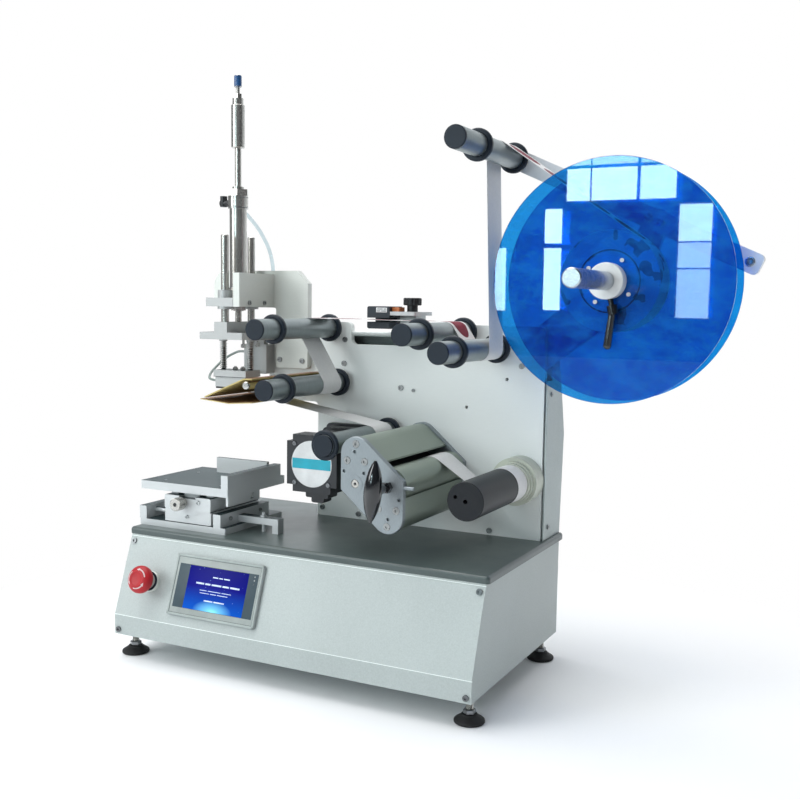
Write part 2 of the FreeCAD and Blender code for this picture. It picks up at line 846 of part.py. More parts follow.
def build_rollers():
    spindles = []
    for index, (name, x, z, cap_y, front_collar_y, rear_collar_y) in enumerate(guide_rollers):
        seat_y = cross_front_y if index == top_roller else 0.0
        thickness = arm_thickness if index == top_roller else plate_thickness
        tube_front = cap_y + cap_thickness
        tube_back = rear_collar_y + collar_width - roller_gap * 1.5
        tube_back = min(tube_back, seat_y - spindle_shoulder_radius)
        tube = ring_y(x, z, tube_radius, tube_bore, tube_front, tube_back)
        rear_bush = ring_y(x, z, tube_bore, spindle_radius + run_fit,
                           tube_back - bush_length, tube_back)
        front_bush = ring_y(x, z, tube_bore, spindle_radius + run_fit,
                            tube_front + bush_length, tube_front + 2 * bush_length)
        cap = rod_y(x, z, tube_radius, cap_y, tube_front)
        plug = rod_y(x, z, tube_bore, tube_front, tube_front + cap_thickness)
        cap = cap.fuse(plug).removeSplitter()
        front_collar = ring_y(x, z, collar_radius, tube_radius,
                              max(front_collar_y, tube_front), front_collar_y + collar_width)
        rear_collar = ring_y(x, z, collar_radius, tube_radius, tube_back - collar_width, tube_back)
        add(name, tube, rear_bush, front_bush, cap, front_collar, rear_collar)
        spindle = rod_y(x, z, spindle_radius, tube_front + bush_length, seat_y + thickness + spindle_nut_height)
        shoulder = rod_y(x, z, spindle_shoulder_radius, tube_back + loose_fit, seat_y)
        nut = hexagon_y(x, z, spindle_nut_radius, seat_y + thickness,
                        seat_y + thickness + spindle_nut_height)
        spindles.append(spindle.fuse([shoulder, nut]).removeSplitter())
    add("roller_spindles", *spindles)


def build_reel():
    top_x, top_z = guide_rollers[top_roller][1:3]
    back = plate_thickness
    along = V(cross_end_x - top_x, 0, cross_end_z - top_z).normalize()
    joint = V(top_x, 0, top_z) + along * cross_joint_along
    foot = tangent_bar(arm_foot_x, arm_foot_z, arm_foot_radius, reel_x, reel_z, arm_hub_radius,
                       back, back + arm_thickness)
    strut = tangent_bar(reel_x, reel_z, strut_hub_radius, joint.x, joint.z, strut_end_radius,
                        back, back + arm_thickness)
    shaft_bore = rod_y(reel_x, reel_z, reel_shaft_radius + run_fit, reel_housing_front_y,
                       back + arm_thickness)
    arm = foot.fuse(strut).removeSplitter().cut(shaft_bore)
    housing = rod_y(reel_x, reel_z, reel_housing_radius, reel_housing_front_y, back)
    rim = [e for e in housing.Edges if abs(e.BoundBox.YMax - reel_housing_front_y) < 1e-6]
    housing = housing.makeChamfer(2.5, rim).cut(shaft_bore)
    add("reel_arm", arm, housing)

    across = V(along.z, 0, -along.x) * -1
    start = V(top_x, cross_front_y, top_z) - along * cross_half_width
    end = V(cross_end_x, cross_front_y, cross_end_z) + along * cross_overhang
    corners = [start + across * cross_half_width, end + across * cross_half_width,
               end - across * cross_half_width, start - across * cross_half_width]
    bar = face_of(corners).extrude(V(0, arm_thickness, 0))
    bar = round_edges(bar, 7.0, V(0, 1, 0))
    bar = bar.cut(rod_y(top_x, top_z, spindle_radius + run_fit, cross_front_y,
                        cross_front_y + arm_thickness))
    add("cross_arm", bar)

    shaft = rod_y(reel_x, reel_z, reel_shaft_radius, reel_shaft_front_y, reel_shaft_back_y)
    nose = [e for e in shaft.Edges if abs(e.BoundBox.YMax - reel_shaft_front_y) < 1e-6]
    shaft = shaft.makeChamfer(1.5, nose)
    shaft = shaft.cut(ring_y(reel_x, reel_z, reel_shaft_radius + 1, reel_shaft_radius - shaft_groove_depth,
                             shaft_groove_y, shaft_groove_y + shaft_groove_width))
    keeper = ring_y(reel_x, reel_z, reel_shaft_radius + 7, reel_shaft_radius,
                    back + arm_thickness + loose_fit, reel_shaft_back_y - 1)
    add("reel_shaft", shaft, keeper)

    bore = reel_shaft_radius + run_fit
    disc_back = rear_disc_y + disc_thickness
    drum = ring_y(reel_x, reel_z, drum_radius, reel_shaft_radius, rear_disc_y - drum_length, rear_disc_y)
    flange = ring_y(reel_x, reel_z, back_flange_radius, reel_shaft_radius, disc_back,
                    disc_back + back_flange_depth)
    add("reel_hub", drum, flange)
    rear = ring_y(reel_x, reel_z, disc_radius, reel_shaft_radius, rear_disc_y, disc_back)
    add("rear_disc", rear)
    front_back = front_disc_y + disc_thickness
    add("front_disc", ring_y(reel_x, reel_z, disc_radius, bore, front_disc_y, front_back))
    boss = ring_y(reel_x, reel_z, reel_collar_radius, bore, reel_collar_front_y, front_disc_y)
    rim = [e for e in boss.Edges if abs(e.BoundBox.YMax - reel_collar_front_y) < 1e-6
           and e.BoundBox.XLength > 2 * reel_shaft_radius + 2]
    boss = boss.makeChamfer(1.0, rim)
    inner = ring_y(reel_x, reel_z, drum_radius, bore, front_back, front_back + flange_depth)
    collar_screws = []
    for turn in (58, 148, 238, 328):
        place = V(reel_x + disc_screw_circle * math.cos(math.radians(turn)), front_disc_y,
                  reel_z + disc_screw_circle * math.sin(math.radians(turn)))
        collar_screws.append(screw(place, V(0, -1, 0), disc_screw_radius))
    outward = lever_axis()
    stud_bore = Part.makeCylinder(lever_stem_radius + run_fit, lever_stem_length,
                                  lever_base() - outward * lever_stem_length, outward)
    add("clamp_collar", boss.cut(stud_bore), inner, *collar_screws)

    core_inner = drum_radius + loose_fit
    core_outer = core_inner + core_wall
    roll_front = front_disc_y + disc_thickness + 2 * loose_fit
    roll_back = rear_disc_y - 2 * loose_fit
    core = ring_y(reel_x, reel_z, core_outer, core_inner, roll_front, roll_back)
    paper = ring_y(reel_x, reel_z, roll_radius, core_outer, roll_front, roll_back)
    add("label_roll", core, paper)

    base = lever_base()
    stem = Part.makeCylinder(lever_stem_radius, 2 * lever_stem_length - 1,
                             base - outward * (lever_stem_length - 1), outward)
    hub_base = base + outward * lever_stem_length
    hub = Part.makeCylinder(lever_hub_radius, lever_hub_length, hub_base, outward)
    side = V(outward.z, 0, -outward.x)
    lean = math.radians(lever_arm_tilt)
    reach = outward * math.cos(lean) + side * math.sin(lean)
    arm_base = hub_base + outward * (lever_hub_length / 2)
    arm = Part.makeCone(lever_arm_root, lever_arm_tip, lever_arm_length, arm_base, reach)
    tip = Part.makeSphere(lever_arm_tip, arm_base + reach * lever_arm_length)
    add("clamp_lever", stem.fuse([hub, arm, tip]).removeSplitter())


def lever_axis():
    turn = math.radians(lever_angle)
    return V(math.cos(turn), 0, math.sin(turn))


def lever_base():
    """Where the lever's stem meets the round side of the reel collar."""
    return V(reel_x, lever_y, reel_z) + lever_axis() * (reel_collar_radius + loose_fit)


def kite_face(y, inset):
    """The drive plates' outline: two round lobes and two square corners, the same turned over."""
    half = kite_half_width - inset
    radius = kite_lobe_radius - inset
    lobe = V(-half + radius, 0, kite_lobe_z)
    corner = V(half, 0, kite_corner_z - inset * 0.5)
    gap = corner - lobe
    lean = math.atan2(gap.z, gap.x) + math.acos(radius / math.hypot(gap.x, gap.z))
    touch = lobe + V(radius * math.cos(lean), 0, radius * math.sin(lean))
    crown = (math.pi + lean) / 2
    top = lobe + V(radius * math.cos(crown), 0, radius * math.sin(crown))
    left = lobe + V(-radius, 0, 0)
    centre = V(drive_centre_x, y, drive_centre_z)
    edges = []
    for sign in (1, -1):
        start = centre - corner * sign
        first = centre + left * sign
        middle = centre + top * sign
        last = centre + touch * sign
        finish = centre + corner * sign
        edges.append(Part.LineSegment(start, first).toShape())
        edges.append(Part.Arc(first, middle, last).toShape())
        edges.append(Part.LineSegment(last, finish).toShape())
    return Part.Face(Part.Wire(edges))


def drive_screw_places():
    """Three screws in each lobe of the drive's front plate."""
    places = []
    half = kite_half_width - kite_lobe_radius
    for sign in (1, -1):
        for turn in (90, 210, 330):
            x = -half + drive_screw_circle * math.cos(math.radians(turn))
            z = kite_lobe_z - 2 + drive_screw_circle * math.sin(math.radians(turn))
            places.append((drive_centre_x + sign * x, drive_centre_z + sign * z))
    return places


def drive_dowel_places():
    """Three small holes beside the screws in each lobe of the drive's front plate."""
    half = kite_half_width - kite_lobe_radius
    return [(drive_centre_x + sign * (x - half), drive_centre_z + sign * (kite_lobe_z + z))
            for sign in (1, -1) for x, z in drive_dowels]


def build_drive():
    front = kite_face(drive_front_y, 0).extrude(V(0, drive_plate_thickness, 0))
    rim = [e for e in front.Edges if abs(e.BoundBox.YMax - drive_front_y) < 1e-6]
    front = front.makeChamfer(0.8, rim)
    front = front.cut(rod_y(knob_seat_x, knob_seat_z, knob_stem_radius + run_fit, drive_front_y,
                            drive_front_y + knob_stem_seat))
    front = front.cut(rod_y(drive_x, drive_z, drive_bearing_radius, drive_front_y, drive_plate_back_y))
    front = front.cut(rod_y(nip_x, drive_z, drive_shaft_radius + run_fit, drive_plate_back_y - 4,
                            drive_plate_back_y))
    for x, z in drive_screw_places():
        front = front.cut(rod_y(x, z, drive_screw_radius + loose_fit, drive_front_y,
                                drive_front_y + drive_screw_sink))
    for x, z in drive_dowel_places():
        front = front.cut(rod_y(x, z, drive_dowel_radius, drive_front_y, drive_front_y + drive_screw_sink))
    edge_x = drive_centre_x + kite_half_width
    stud_y = drive_front_y + drive_plate_thickness / 2
    collar = rod_x(stud_y, knob_seat_z, release_collar_radius, edge_x - 1, edge_x + release_collar_radius)
    stud = rod_x(stud_y, knob_seat_z, release_stud_radius, edge_x - 1, edge_x + release_stud_length)
    front = front.fuse([collar, stud]).removeSplitter()
    bearing = ring_y(drive_x, drive_z, drive_bearing_radius, drive_shaft_radius + run_fit,
                     drive_front_y - 0.6, drive_plate_back_y)
    add("drive_front_plate", front, bearing)

    rear = kite_face(-drive_rear_plate, 0).extrude(V(0, drive_rear_plate, 0))
    rear = rear.cut(rod_y(drive_x, drive_z, drive_shaft_radius + run_fit, -drive_rear_plate, 0))
    rear = rear.cut(rod_y(nip_x, drive_z, drive_shaft_radius + run_fit, -drive_rear_plate, 0))
    add("drive_rear_plate", rear)

    guards = []
    length = -drive_rear_plate - drive_plate_back_y
    left_x = drive_centre_x - 2 * kite_half_width
    slope = (guard_edge_right_z - guard_edge_left_z) / (guard_edge_right_x - drive_centre_x + kite_half_width)
    for turn in (0, 180):
        body = kite_face(drive_plate_back_y, guard_inset).extrude(V(0, length, 0))
        reach = 2 * kite_half_width
        low_left = guard_edge_left_z - slope * kite_half_width
        keep = prism_xz([(left_x, low_left), (guard_edge_right_x, guard_edge_right_z),
                         (guard_edge_right_x, guard_edge_right_z + reach),
                         (left_x, guard_edge_right_z + reach)], drive_plate_back_y, -drive_rear_plate)
        body = body.common(keep)
        for x in (drive_x, nip_x):
            body = body.cut(rod_y(x, drive_z, nip_roller_radius + guard_roller_gap,
                                  drive_plate_back_y, -drive_rear_plate))
        if turn:
            body.rotate(V(drive_centre_x, 0, drive_centre_z), V(0, 1, 0), turn)
        guards.append(body)
    add("drive_guards", *guards)

    face_gap = 0.5
    roller_front = drive_plate_back_y + face_gap
    roller_back = -drive_rear_plate - face_gap
    rubber = ring_y(drive_x, drive_z, nip_roller_radius, drive_core_radius, roller_front, roller_back)
    core = rod_y(drive_x, drive_z, drive_core_radius, roller_front, roller_back)
    shaft = rod_y(drive_x, drive_z, drive_shaft_radius, drive_front_y - 0.6, pulley_y + pulley_width)
    socket = hexagon_y(drive_x, drive_z, 3, drive_front_y - 0.6, drive_front_y + 4)
    pulley = pulley_shape(drive_x, drive_z, drive_pulley_radius, drive_shaft_radius)
    add("drive_roller", rubber, core.fuse(shaft).removeSplitter().cut(socket), pulley)

    nip = rod_y(nip_x, drive_z, nip_roller_radius, roller_front, roller_back)
    nip_shaft = rod_y(nip_x, drive_z, drive_shaft_radius, drive_plate_back_y - 3.5, -0.5)
    add("nip_roller", nip.fuse(nip_shaft).removeSplitter())

    shaft = rod_y(motor_x, motor_z, motor_shaft_radius, 1 - motor_mount_thickness - motor_shaft_depth,
                  pulley_y + pulley_width)
    add("motor_pulley", shaft, pulley_shape(motor_x, motor_z, motor_pulley_radius, motor_shaft_radius))

    belt_front = pulley_y + belt_margin
    belt_back = pulley_y + pulley_width - belt_margin
    rise = belt_thickness + loose_fit
    outer = tangent_bar(motor_x, motor_z, motor_pulley_radius + rise, drive_x, drive_z,
                        drive_pulley_radius + rise, belt_front, belt_back)
    inner = tangent_bar(motor_x, motor_z, motor_pulley_radius + loose_fit, drive_x, drive_z,
                        drive_pulley_radius + loose_fit, belt_front, belt_back)
    add("drive_belt", outer.cut(inner))

    grip_y = drive_front_y - knob_reach
    nut_y = drive_front_y - run_fit - knob_nut_height
    rib = [(knob_grip_half * rise, knob_grip_radius * reach)
           for rise, reach in ((-1, 0.14), (-0.74, 0.58), (-0.37, 0.9), (0, 1), (0.37, 0.9), (0.74, 0.58), (1, 0.14))]
    rib = [V(knob_seat_x + reach, grip_y, knob_seat_z + rise) for rise, reach in rib]
    curve = Part.BSplineCurve()
    curve.interpolate(rib)
    low = V(knob_seat_x, grip_y, rib[0].z)
    high = V(knob_seat_x, grip_y, rib[-1].z)
    outline = Part.Wire([Part.LineSegment(low, rib[0]).toShape(), curve.toShape(),
                         Part.LineSegment(rib[-1], high).toShape(), Part.LineSegment(high, low).toShape()])
    grip = Part.Face(outline).revolve(V(knob_seat_x, grip_y, knob_seat_z), V(0, 0, 1), 360)
    back_y = grip_y + knob_grip_back
    reach = 2 * knob_grip_half
    grip = grip.cut(box(knob_seat_x - reach, knob_seat_x + reach, back_y, back_y + reach,
                        knob_seat_z - reach, knob_seat_z + reach))
    grip.rotate(V(knob_seat_x, grip_y, knob_seat_z), V(0, 1, 0), knob_lean)
    neck = Part.makeCone(knob_cone_radius, knob_stem_radius, nut_y - back_y + 1,
                         V(knob_seat_x, back_y - 1, knob_seat_z), V(0, 1, 0))
    nut = hexagon_y(knob_seat_x, knob_seat_z, knob_nut_radius, nut_y, nut_y + knob_nut_height)
    stem = rod_y(knob_seat_x, knob_seat_z, knob_stem_radius, nut_y, drive_front_y + knob_stem_seat - loose_fit)
    knob = grip.fuse([neck, nut, stem]).removeSplitter()
    add("nip_knob", knob)


def pulley_shape(x, z, radius, bore):
    """A belt pulley with a rim each side of its running face."""
    rim = 1.8
    face = ring_y(x, z, radius, bore, pulley_y, pulley_y + pulley_width)
    for y in (pulley_y - 2, pulley_y + pulley_width):
        face = face.fuse(ring_y(x, z, radius + rim, bore, y, y + 2))
    return face.removeSplitter()


def build_motor():
    half = motor_half
    seat_y = -motor_mount_thickness
    mount = box(motor_x - motor_mount_left, motor_x + motor_mount_right, seat_y, 0,
                motor_z - motor_mount_half_z, motor_z + motor_mount_half_z)
    mount = round_edges(mount, motor_corner, V(0, 1, 0))
    mount = mount.cut(rod_y(motor_x, motor_z, motor_shaft_radius + 3, seat_y, 0))
    cap_back = motor_front_y + motor_cap_length
    stack_back = cap_back + motor_stack_length
    cap = box(motor_x - half, motor_x + half, motor_front_y, cap_back, motor_z - half, motor_z + half)
    cap = round_edges(cap, motor_corner, V(0, 1, 0))
    stack = box(motor_x - half + 3, motor_x + half - 3, cap_back, stack_back,
                motor_z - half + 3, motor_z + half - 3)
    stack = round_edges(stack, motor_corner * 2, V(0, 1, 0))
    flange_back = seat_y - motor_spacer_depth
    flange = box(motor_x - half, motor_x + half, stack_back, flange_back, motor_z - half, motor_z + half)
    flange = round_edges(flange, motor_corner, V(0, 1, 0))
    spacer = box(motor_x - motor_spacer_half, motor_x + motor_spacer_half, flange_back, seat_y,
                 motor_z - motor_spacer_half, motor_z + motor_spacer_half)
    spacer = round_edges(spacer, motor_corner, V(0, 1, 0))
    slot_half = motor_notch / 2
    body = cap
    for side_x in (-1, 1):
        for side_z in (-1, 1):
            x = motor_x + side_x * (half - slot_half)
            z = motor_z + side_z * (half - slot_half)
            groove = box(x - slot_half, x + slot_half, motor_front_y, cap_back,
                         z - slot_half, z + slot_half)
            body = body.cut(groove)
    gland_x = motor_x + gland_offset
    gland_y = motor_front_y + 4
    gland_top = motor_z - half
    gland = box(gland_x - gland_half, gland_x + gland_half, gland_y, gland_y + 26,
                gland_top - gland_step, gland_top)
    gland = round_edges(gland, 3, V(0, 1, 0), lambda p: p.z < gland_top - 1)
    lower = box(gland_x - gland_half * 0.55, gland_x + gland_half * 0.55, gland_y + 2, gland_y + 24,
                gland_top - 2 * gland_step, gland_top - gland_step)
    lower = round_edges(lower, 3, V(0, 1, 0), lambda p: p.z < gland_top - gland_step - 1)
    gland = gland.fuse(lower)
    body = body.fuse([stack, flange, spacer, gland]).removeSplitter()
    body = body.cut(rod_y(motor_x, motor_z, motor_shaft_radius + run_fit,
                          seat_y - motor_shaft_depth, seat_y))
    add("stepper_motor", body, mount)


def build_rewind():
    bore = rod_y(rewind_x, rewind_z, rewind_shaft_radius + run_fit, rewind_steps[-1][2], 0)
    hub = rod_y(rewind_x, rewind_z, rewind_steps[0][0], rewind_steps[0][2], 0)
    for radius, back, front in rewind_steps[1:]:
        hub = hub.fuse(rod_y(rewind_x, rewind_z, radius, front, back))
    add("rewind_hub", hub.removeSplitter().cut(bore))
    core = rod_y(rewind_x, rewind_z, rewind_radius, rewind_front_y, rewind_back_y)
    rim = [e for e in core.Edges if abs(e.BoundBox.YMax - rewind_front_y) < 1e-6]
    core = core.makeChamfer(0.8, rim)
    core = core.cut(rod_y(rewind_x, rewind_z, 3, rewind_front_y, rewind_front_y + 12))
    core = core.cut(rod_y(rewind_x - 14, rewind_z + 5, 2.6, rewind_front_y, rewind_front_y + 12))
    shaft = rod_y(rewind_x, rewind_z, rewind_shaft_radius, rewind_back_y, plate_thickness + 10)
    keeper = rod_y(rewind_x, rewind_z, rewind_shaft_radius + 5, plate_thickness + loose_fit,
                   plate_thickness + 8)
    add("rewind_core", core.fuse([shaft, keeper]).removeSplitter())


def sheet_strip(points, thickness, y0, y1):
    """A folded sheet along a polyline, thickened to one side."""
    inner = []
    for index, (x, z) in enumerate(points):
        normals = []
        for a, b in ((index - 1, index), (index, index + 1)):
            if a < 0 or b >= len(points):
                continue
            run = math.hypot(points[b][0] - points[a][0], points[b][1] - points[a][1])
            normals.append(((points[b][1] - points[a][1]) / run, -(points[b][0] - points[a][0]) / run))
        nx = sum(n[0] for n in normals)
        nz = sum(n[1] for n in normals)
        length = math.hypot(nx, nz)
        spread = thickness if len(normals) == 1 else thickness * 2 / length
        inner.append((x + nx / length * spread, z + nz / length * spread))
    return prism_xz(points + inner[::-1], y0, y1)


def build_peel_plate():
    top = [(peel_top_tip_x, peel_top_tip_z), (peel_fold_x, peel_fold_z), (peel_heel_x, peel_fold_z)]
    low = [(peel_tip_x, peel_tip_z), (peel_lip_x, peel_lip_z), (peel_heel_x, peel_lip_z + 3)]
    upper = sheet_strip(top, peel_sheet, peel_front_y, peel_back_y)
    lower = sheet_strip(low[::-1], peel_lip_sheet, peel_front_y, peel_back_y)
    cheek_outline = [(peel_top_tip_x + 2, peel_tip_z + 0.6), (peel_top_tip_x + 2, peel_top_tip_z),
                     (peel_fold_x, peel_fold_z - peel_sheet * 0.6), (peel_heel_x, peel_fold_z - peel_sheet * 0.6),
                     (peel_heel_x, peel_lip_z + 3.6), (peel_lip_x, peel_lip_z + 0.6)]
    cheek = prism_xz(cheek_outline, peel_back_y - peel_cheek, peel_back_y)
    body = upper.fuse([lower, cheek]).removeSplitter()
    body = body.cut(rod_y(peel_rod_x, peel_rod_z, peel_rod_radius, peel_front_y, peel_back_y))
    rod = rod_y(peel_rod_x, peel_rod_z, peel_rod_radius, peel_front_y, 0)
    add("peel_plate", body, rod)


def build_press_frame():
    front = -bracket_thickness
    outline = [(bracket_left_x, bracket_low_z), (bracket_leg_left_x, bracket_low_z),
               (bracket_leg_left_x, bracket_leg_z), (bracket_right_x, bracket_leg_z),
               (bracket_right_x, bracket_top_z - bracket_chamfer),
               (bracket_right_x - bracket_chamfer, bracket_top_z), (bracket_left_x, bracket_top_z)]
    plate = prism_xz(outline, front, 0)
    plate = round_edges(plate, bracket_round, V(0, 1, 0),
                        lambda p: p.x < bracket_left_x + 1 and p.z > bracket_top_z - 1)
    plate = round_edges(plate, 4.0, V(0, 1, 0),
                        lambda p: p.x < bracket_left_x + 1 or p.z < bracket_low_z + 1)
    plate = plate.cut(rod_y(bulkhead_x, bulkhead_z, bulkhead_radius - 1.5, front, 0))
    cheek_right = cheek_left_x + cheek_thickness
    cheek = box(cheek_left_x, cheek_right, block_front_y, front, block_bottom_z, cheek_top_z)
    cheek = round_edges(cheek, 1.5, V(0, 0, 1), lambda p: p.y < block_front_y + 1)
    add("press_bracket", plate, cheek)

    top = block_bottom_z + block_thickness
    block = box(block_left_x, cheek_left_x, block_front_y, front, block_bottom_z, top)
    block = round_edges(block, 1.5, V(0, 0, 1), lambda p: p.x < block_left_x + 1)
    block = block.cut(rod_z(press_x, press_y, nose_radius, block_bottom_z, top))
    bushes = []
    for side in (-1, 1):
        y = press_y + side * rod_spacing / 2
        block = block.cut(rod_z(press_x, y, bush_radius, block_bottom_z, top))
        bush = rod_z(press_x, y, bush_radius, block_bottom_z, top)
        collar = rod_z(press_x, y, bush_collar_radius, top, top + bush_collar_height)
        flange = rod_z(press_x, y, bush_flange_radius, block_bottom_z - bush_flange_height, block_bottom_z)
        bush = bush.fuse([collar, flange]).removeSplitter()
        bushes.append(bush.cut(rod_z(press_x, y, guide_rod_radius + run_fit,
                                     block_bottom_z - bush_flange_height, top + bush_collar_height)))
    add("bushing_block", block, *bushes)

    low_cap = rod_z(press_x, press_y, cylinder_cap_radius, top, top + cylinder_low_cap)
    tube = rod_z(press_x, press_y, cylinder_tube_radius, top + cylinder_low_cap, cylinder_top_cap_z)
    top_cap = rod_z(press_x, press_y, cylinder_cap_radius, cylinder_top_cap_z, cylinder_top_z)
    nose_bottom = block_bottom_z - nose_nut_height - 1
    nose = rod_z(press_x, press_y, nose_radius, nose_bottom, top)
    nose_nut = hexagon_z(press_x, press_y, nose_nut_radius, block_bottom_z - nose_nut_height, block_bottom_z)
    nut_top = cylinder_top_z + gland_nut_height
    gland_nut = hexagon_z(press_x, press_y, gland_nut_radius, cylinder_top_z, nut_top)
    gland = rod_z(press_x, press_y, gland_radius, nut_top, nut_top + gland_height)
    cylinder = low_cap.fuse([tube, top_cap, nose, nose_nut, gland_nut, gland]).removeSplitter()
    cylinder = cylinder.cut(rod_z(press_x, press_y, piston_rod_radius + run_fit, nose_bottom,
                                  nut_top + gland_height))
    add("air_cylinder", cylinder)

    elbow_x = press_x - cylinder_cap_radius
    arm = rod_x(press_y, elbow_z, elbow_radius, elbow_x - elbow_reach, elbow_x)
    arm = arm.cut(rod_z(press_x, press_y, cylinder_cap_radius, cylinder_top_cap_z, cylinder_top_z))
    knob = rod_z(elbow_x - elbow_reach + elbow_radius, press_y, elbow_knob_radius,
                 elbow_z - elbow_knob_height / 2, elbow_z + elbow_knob_height)
    outlet = rod_y(elbow_x - elbow_reach + elbow_radius, elbow_z, outlet_radius, press_y,
                   press_y + elbow_knob_radius + outlet_length)
    bulkhead = rod_y(bulkhead_x, bulkhead_z, bulkhead_radius, 0, bulkhead_length)
    bulkhead = bulkhead.fuse(rod_z(bulkhead_x, bulkhead_length - outlet_radius, outlet_radius,
                                   bulkhead_z, bulkhead_z + bulkhead_radius + outlet_length))
    air_inlet = rod_y(air_inlet_x, air_inlet_z, air_inlet_radius, cabinet_back_y - cabinet_sheet,
                      cabinet_back_y + air_inlet_length)
    air_inlet = air_inlet.fuse(hexagon_y(air_inlet_x, air_inlet_z, air_inlet_radius + 3,
                                         cabinet_back_y, cabinet_back_y + 6))
    air_inlet = air_inlet.cut(rod_y(air_inlet_x, air_inlet_z, air_inlet_radius - 3,
                                    cabinet_back_y - cabinet_sheet, cabinet_back_y + air_inlet_length))
    add("air_fittings", arm.fuse([knob, outlet]).removeSplitter(), bulkhead.removeSplitter(),
        air_inlet.removeSplitter())

    start = V(elbow_x - elbow_reach + elbow_radius, press_y + elbow_knob_radius + outlet_length, elbow_z)
    end = V(bulkhead_x, bulkhead_length - outlet_radius, bulkhead_z + bulkhead_radius + outlet_length)
    route = [start, start + V(0, 16, 0), V(-226, -14, 668), V(-212, 3, 644), V(-197, 11, 612),
             end + V(0, 0, 30), end]
    add("air_hose_upper", hose(route, hose_radius))


def build_press_head():
    rod = rod_z(press_x, press_y, piston_rod_radius, carriage_top_z, stop_sleeve_low_z)
    sleeve = rod_z(press_x, press_y, stop_sleeve_radius, stop_sleeve_low_z, stop_sleeve_high_z)
    sleeve = sleeve.makeChamfer(1.0, [e for e in sleeve.Edges if e.BoundBox.ZLength < 1e-6])
    collar = rod_z(press_x, press_y, lock_collar_radius, stop_sleeve_high_z, lock_collar_high_z)
    nut = hexagon_z(press_x, press_y, rod_nut_radius, lock_collar_high_z, rod_nut_high_z)
    stem = rod_z(press_x, press_y, rod_stem_radius, rod_nut_high_z, rod_cap_low_z)
    cap = rod_z(press_x, press_y, rod_cap_radius, rod_cap_low_z, rod_cap_high_z)
    cap = cap.makeFillet(1.5, [e for e in cap.Edges if e.BoundBox.ZMin > rod_cap_high_z - 0.1])
    upper = rod.fuse([sleeve, collar, nut, stem]).removeSplitter()
    guides = []
    for side in (-1, 1):
        y = press_y + side * rod_spacing / 2
        guide = rod_z(press_x, y, guide_rod_radius, carriage_top_z, guide_rod_top_z)
        guides.append(guide.makeChamfer(0.8, [e for e in guide.Edges
                                              if e.BoundBox.ZMin > guide_rod_top_z - 0.1]))
    add("press_rods", upper, cap, *guides)

    plate = box(carriage_left_x, carriage_right_x, block_front_y, carriage_back_y,
                carriage_bottom_z, carriage_top_z)
    plate = round_edges(plate, 1.5, V(0, 0, 1))
    bar = box(press_x - clamp_bar_half, press_x + clamp_bar_half, block_front_y, carriage_back_y,
              carriage_top_z, clamp_bar_top_z)
    for y in (press_y - rod_spacing / 2, press_y + rod_spacing / 2):
        bar = bar.cut(rod_z(press_x, y, guide_rod_radius, carriage_top_z, clamp_bar_top_z))
    bar = bar.cut(rod_z(press_x, press_y, piston_rod_radius, carriage_top_z, clamp_bar_top_z))
    bushes = []
    for side in (-1, 1):
        x = tool_x + side * stud_offset
        plate = plate.cut(rod_z(x, tool_y, stud_radius + run_fit, carriage_bottom_z, carriage_top_z))
        bushes.append(ring_z(x, tool_y, stud_bush_radius, stud_radius + run_fit,
                             carriage_bottom_z - stud_bush_height, carriage_bottom_z))
    valve = box(valve_left_x, valve_right_x, valve_front_y, valve_back_y, valve_bottom_z, valve_top_z)
    pocket = box(valve_left_x + 12, valve_left_x + 26, valve_front_y, valve_front_y + 1.5,
                 valve_bottom_z + 12, valve_top_z - 12)
    valve = round_edges(valve, 2.0, V(0, 1, 0)).cut(pocket)
    hanger = box(valve_left_x + 5, valve_right_x - 5, valve_front_y, valve_hanger_back_y,
                 valve_top_z, carriage_bottom_z)
    port = rod_x((valve_front_y + valve_back_y) / 2, valve_port_z, port_radius,
                 valve_left_x - port_length, valve_left_x)
    add("press_carriage", plate, bar, *bushes, valve.fuse([hanger, port]).removeSplitter())

    tool = box(tool_x - tool_half_x, tool_x + tool_half_x, tool_y - tool_half_y, tool_y + tool_half_y,
               tool_bottom_z, tool_top_z)
    tool = round_edges(tool, 1.0, V(0, 0, 1))
    studs = []
    springs = []
    for side in (-1, 1):
        x = tool_x + side * stud_offset
        studs.append(rod_z(x, tool_y, stud_radius, tool_top_z, carriage_top_z + loose_fit))
        studs.append(hexagon_z(x, tool_y, stud_head_radius, carriage_top_z + loose_fit,
                               carriage_top_z + loose_fit + stud_head_height))
        springs.append(ring_z(x, tool_y, spring_outer, spring_inner, tool_top_z + spring_end_gap,
                              carriage_bottom_z - stud_bush_height - spring_end_gap))
    tool = tool.fuse(studs).removeSplitter()
    pad = box(tool_x - pad_half_x, tool_x + pad_half_x, tool_y - pad_half_y, tool_y + pad_half_y,
              pad_bottom_z, tool_bottom_z)
    pad_left = tool_x - pad_half_x
    nipple = rod_x(tool_y, tool_port_z, port_radius, pad_left - port_length, pad_left)
    rubber = box(tool_x - pad_half_x, tool_x + pad_half_x, tool_y - pad_half_y, tool_y + pad_half_y,
                 pad_bottom_z - pad_rubber, pad_bottom_z)
    rubber = round_edges(rubber, 2.0, V(0, 0, 1))
    add("press_tool", tool, pad.fuse(nipple).removeSplitter())
    add("press_pad", rubber)
    add("press_springs", *springs)

    start = V(valve_left_x - port_length, (valve_front_y + valve_back_y) / 2, valve_port_z)
    end = V(pad_left - port_length, tool_y, tool_port_z)
    route = [start, start + V(-13, 0, 0), V(-256, -20, 438), V(-268, -32, 424), V(-272, -48, 410),
             V(-264, -61, 402.5), end + V(-10, 0, 0), end]
    add("air_hose_lower", hose(route, thin_hose_radius))


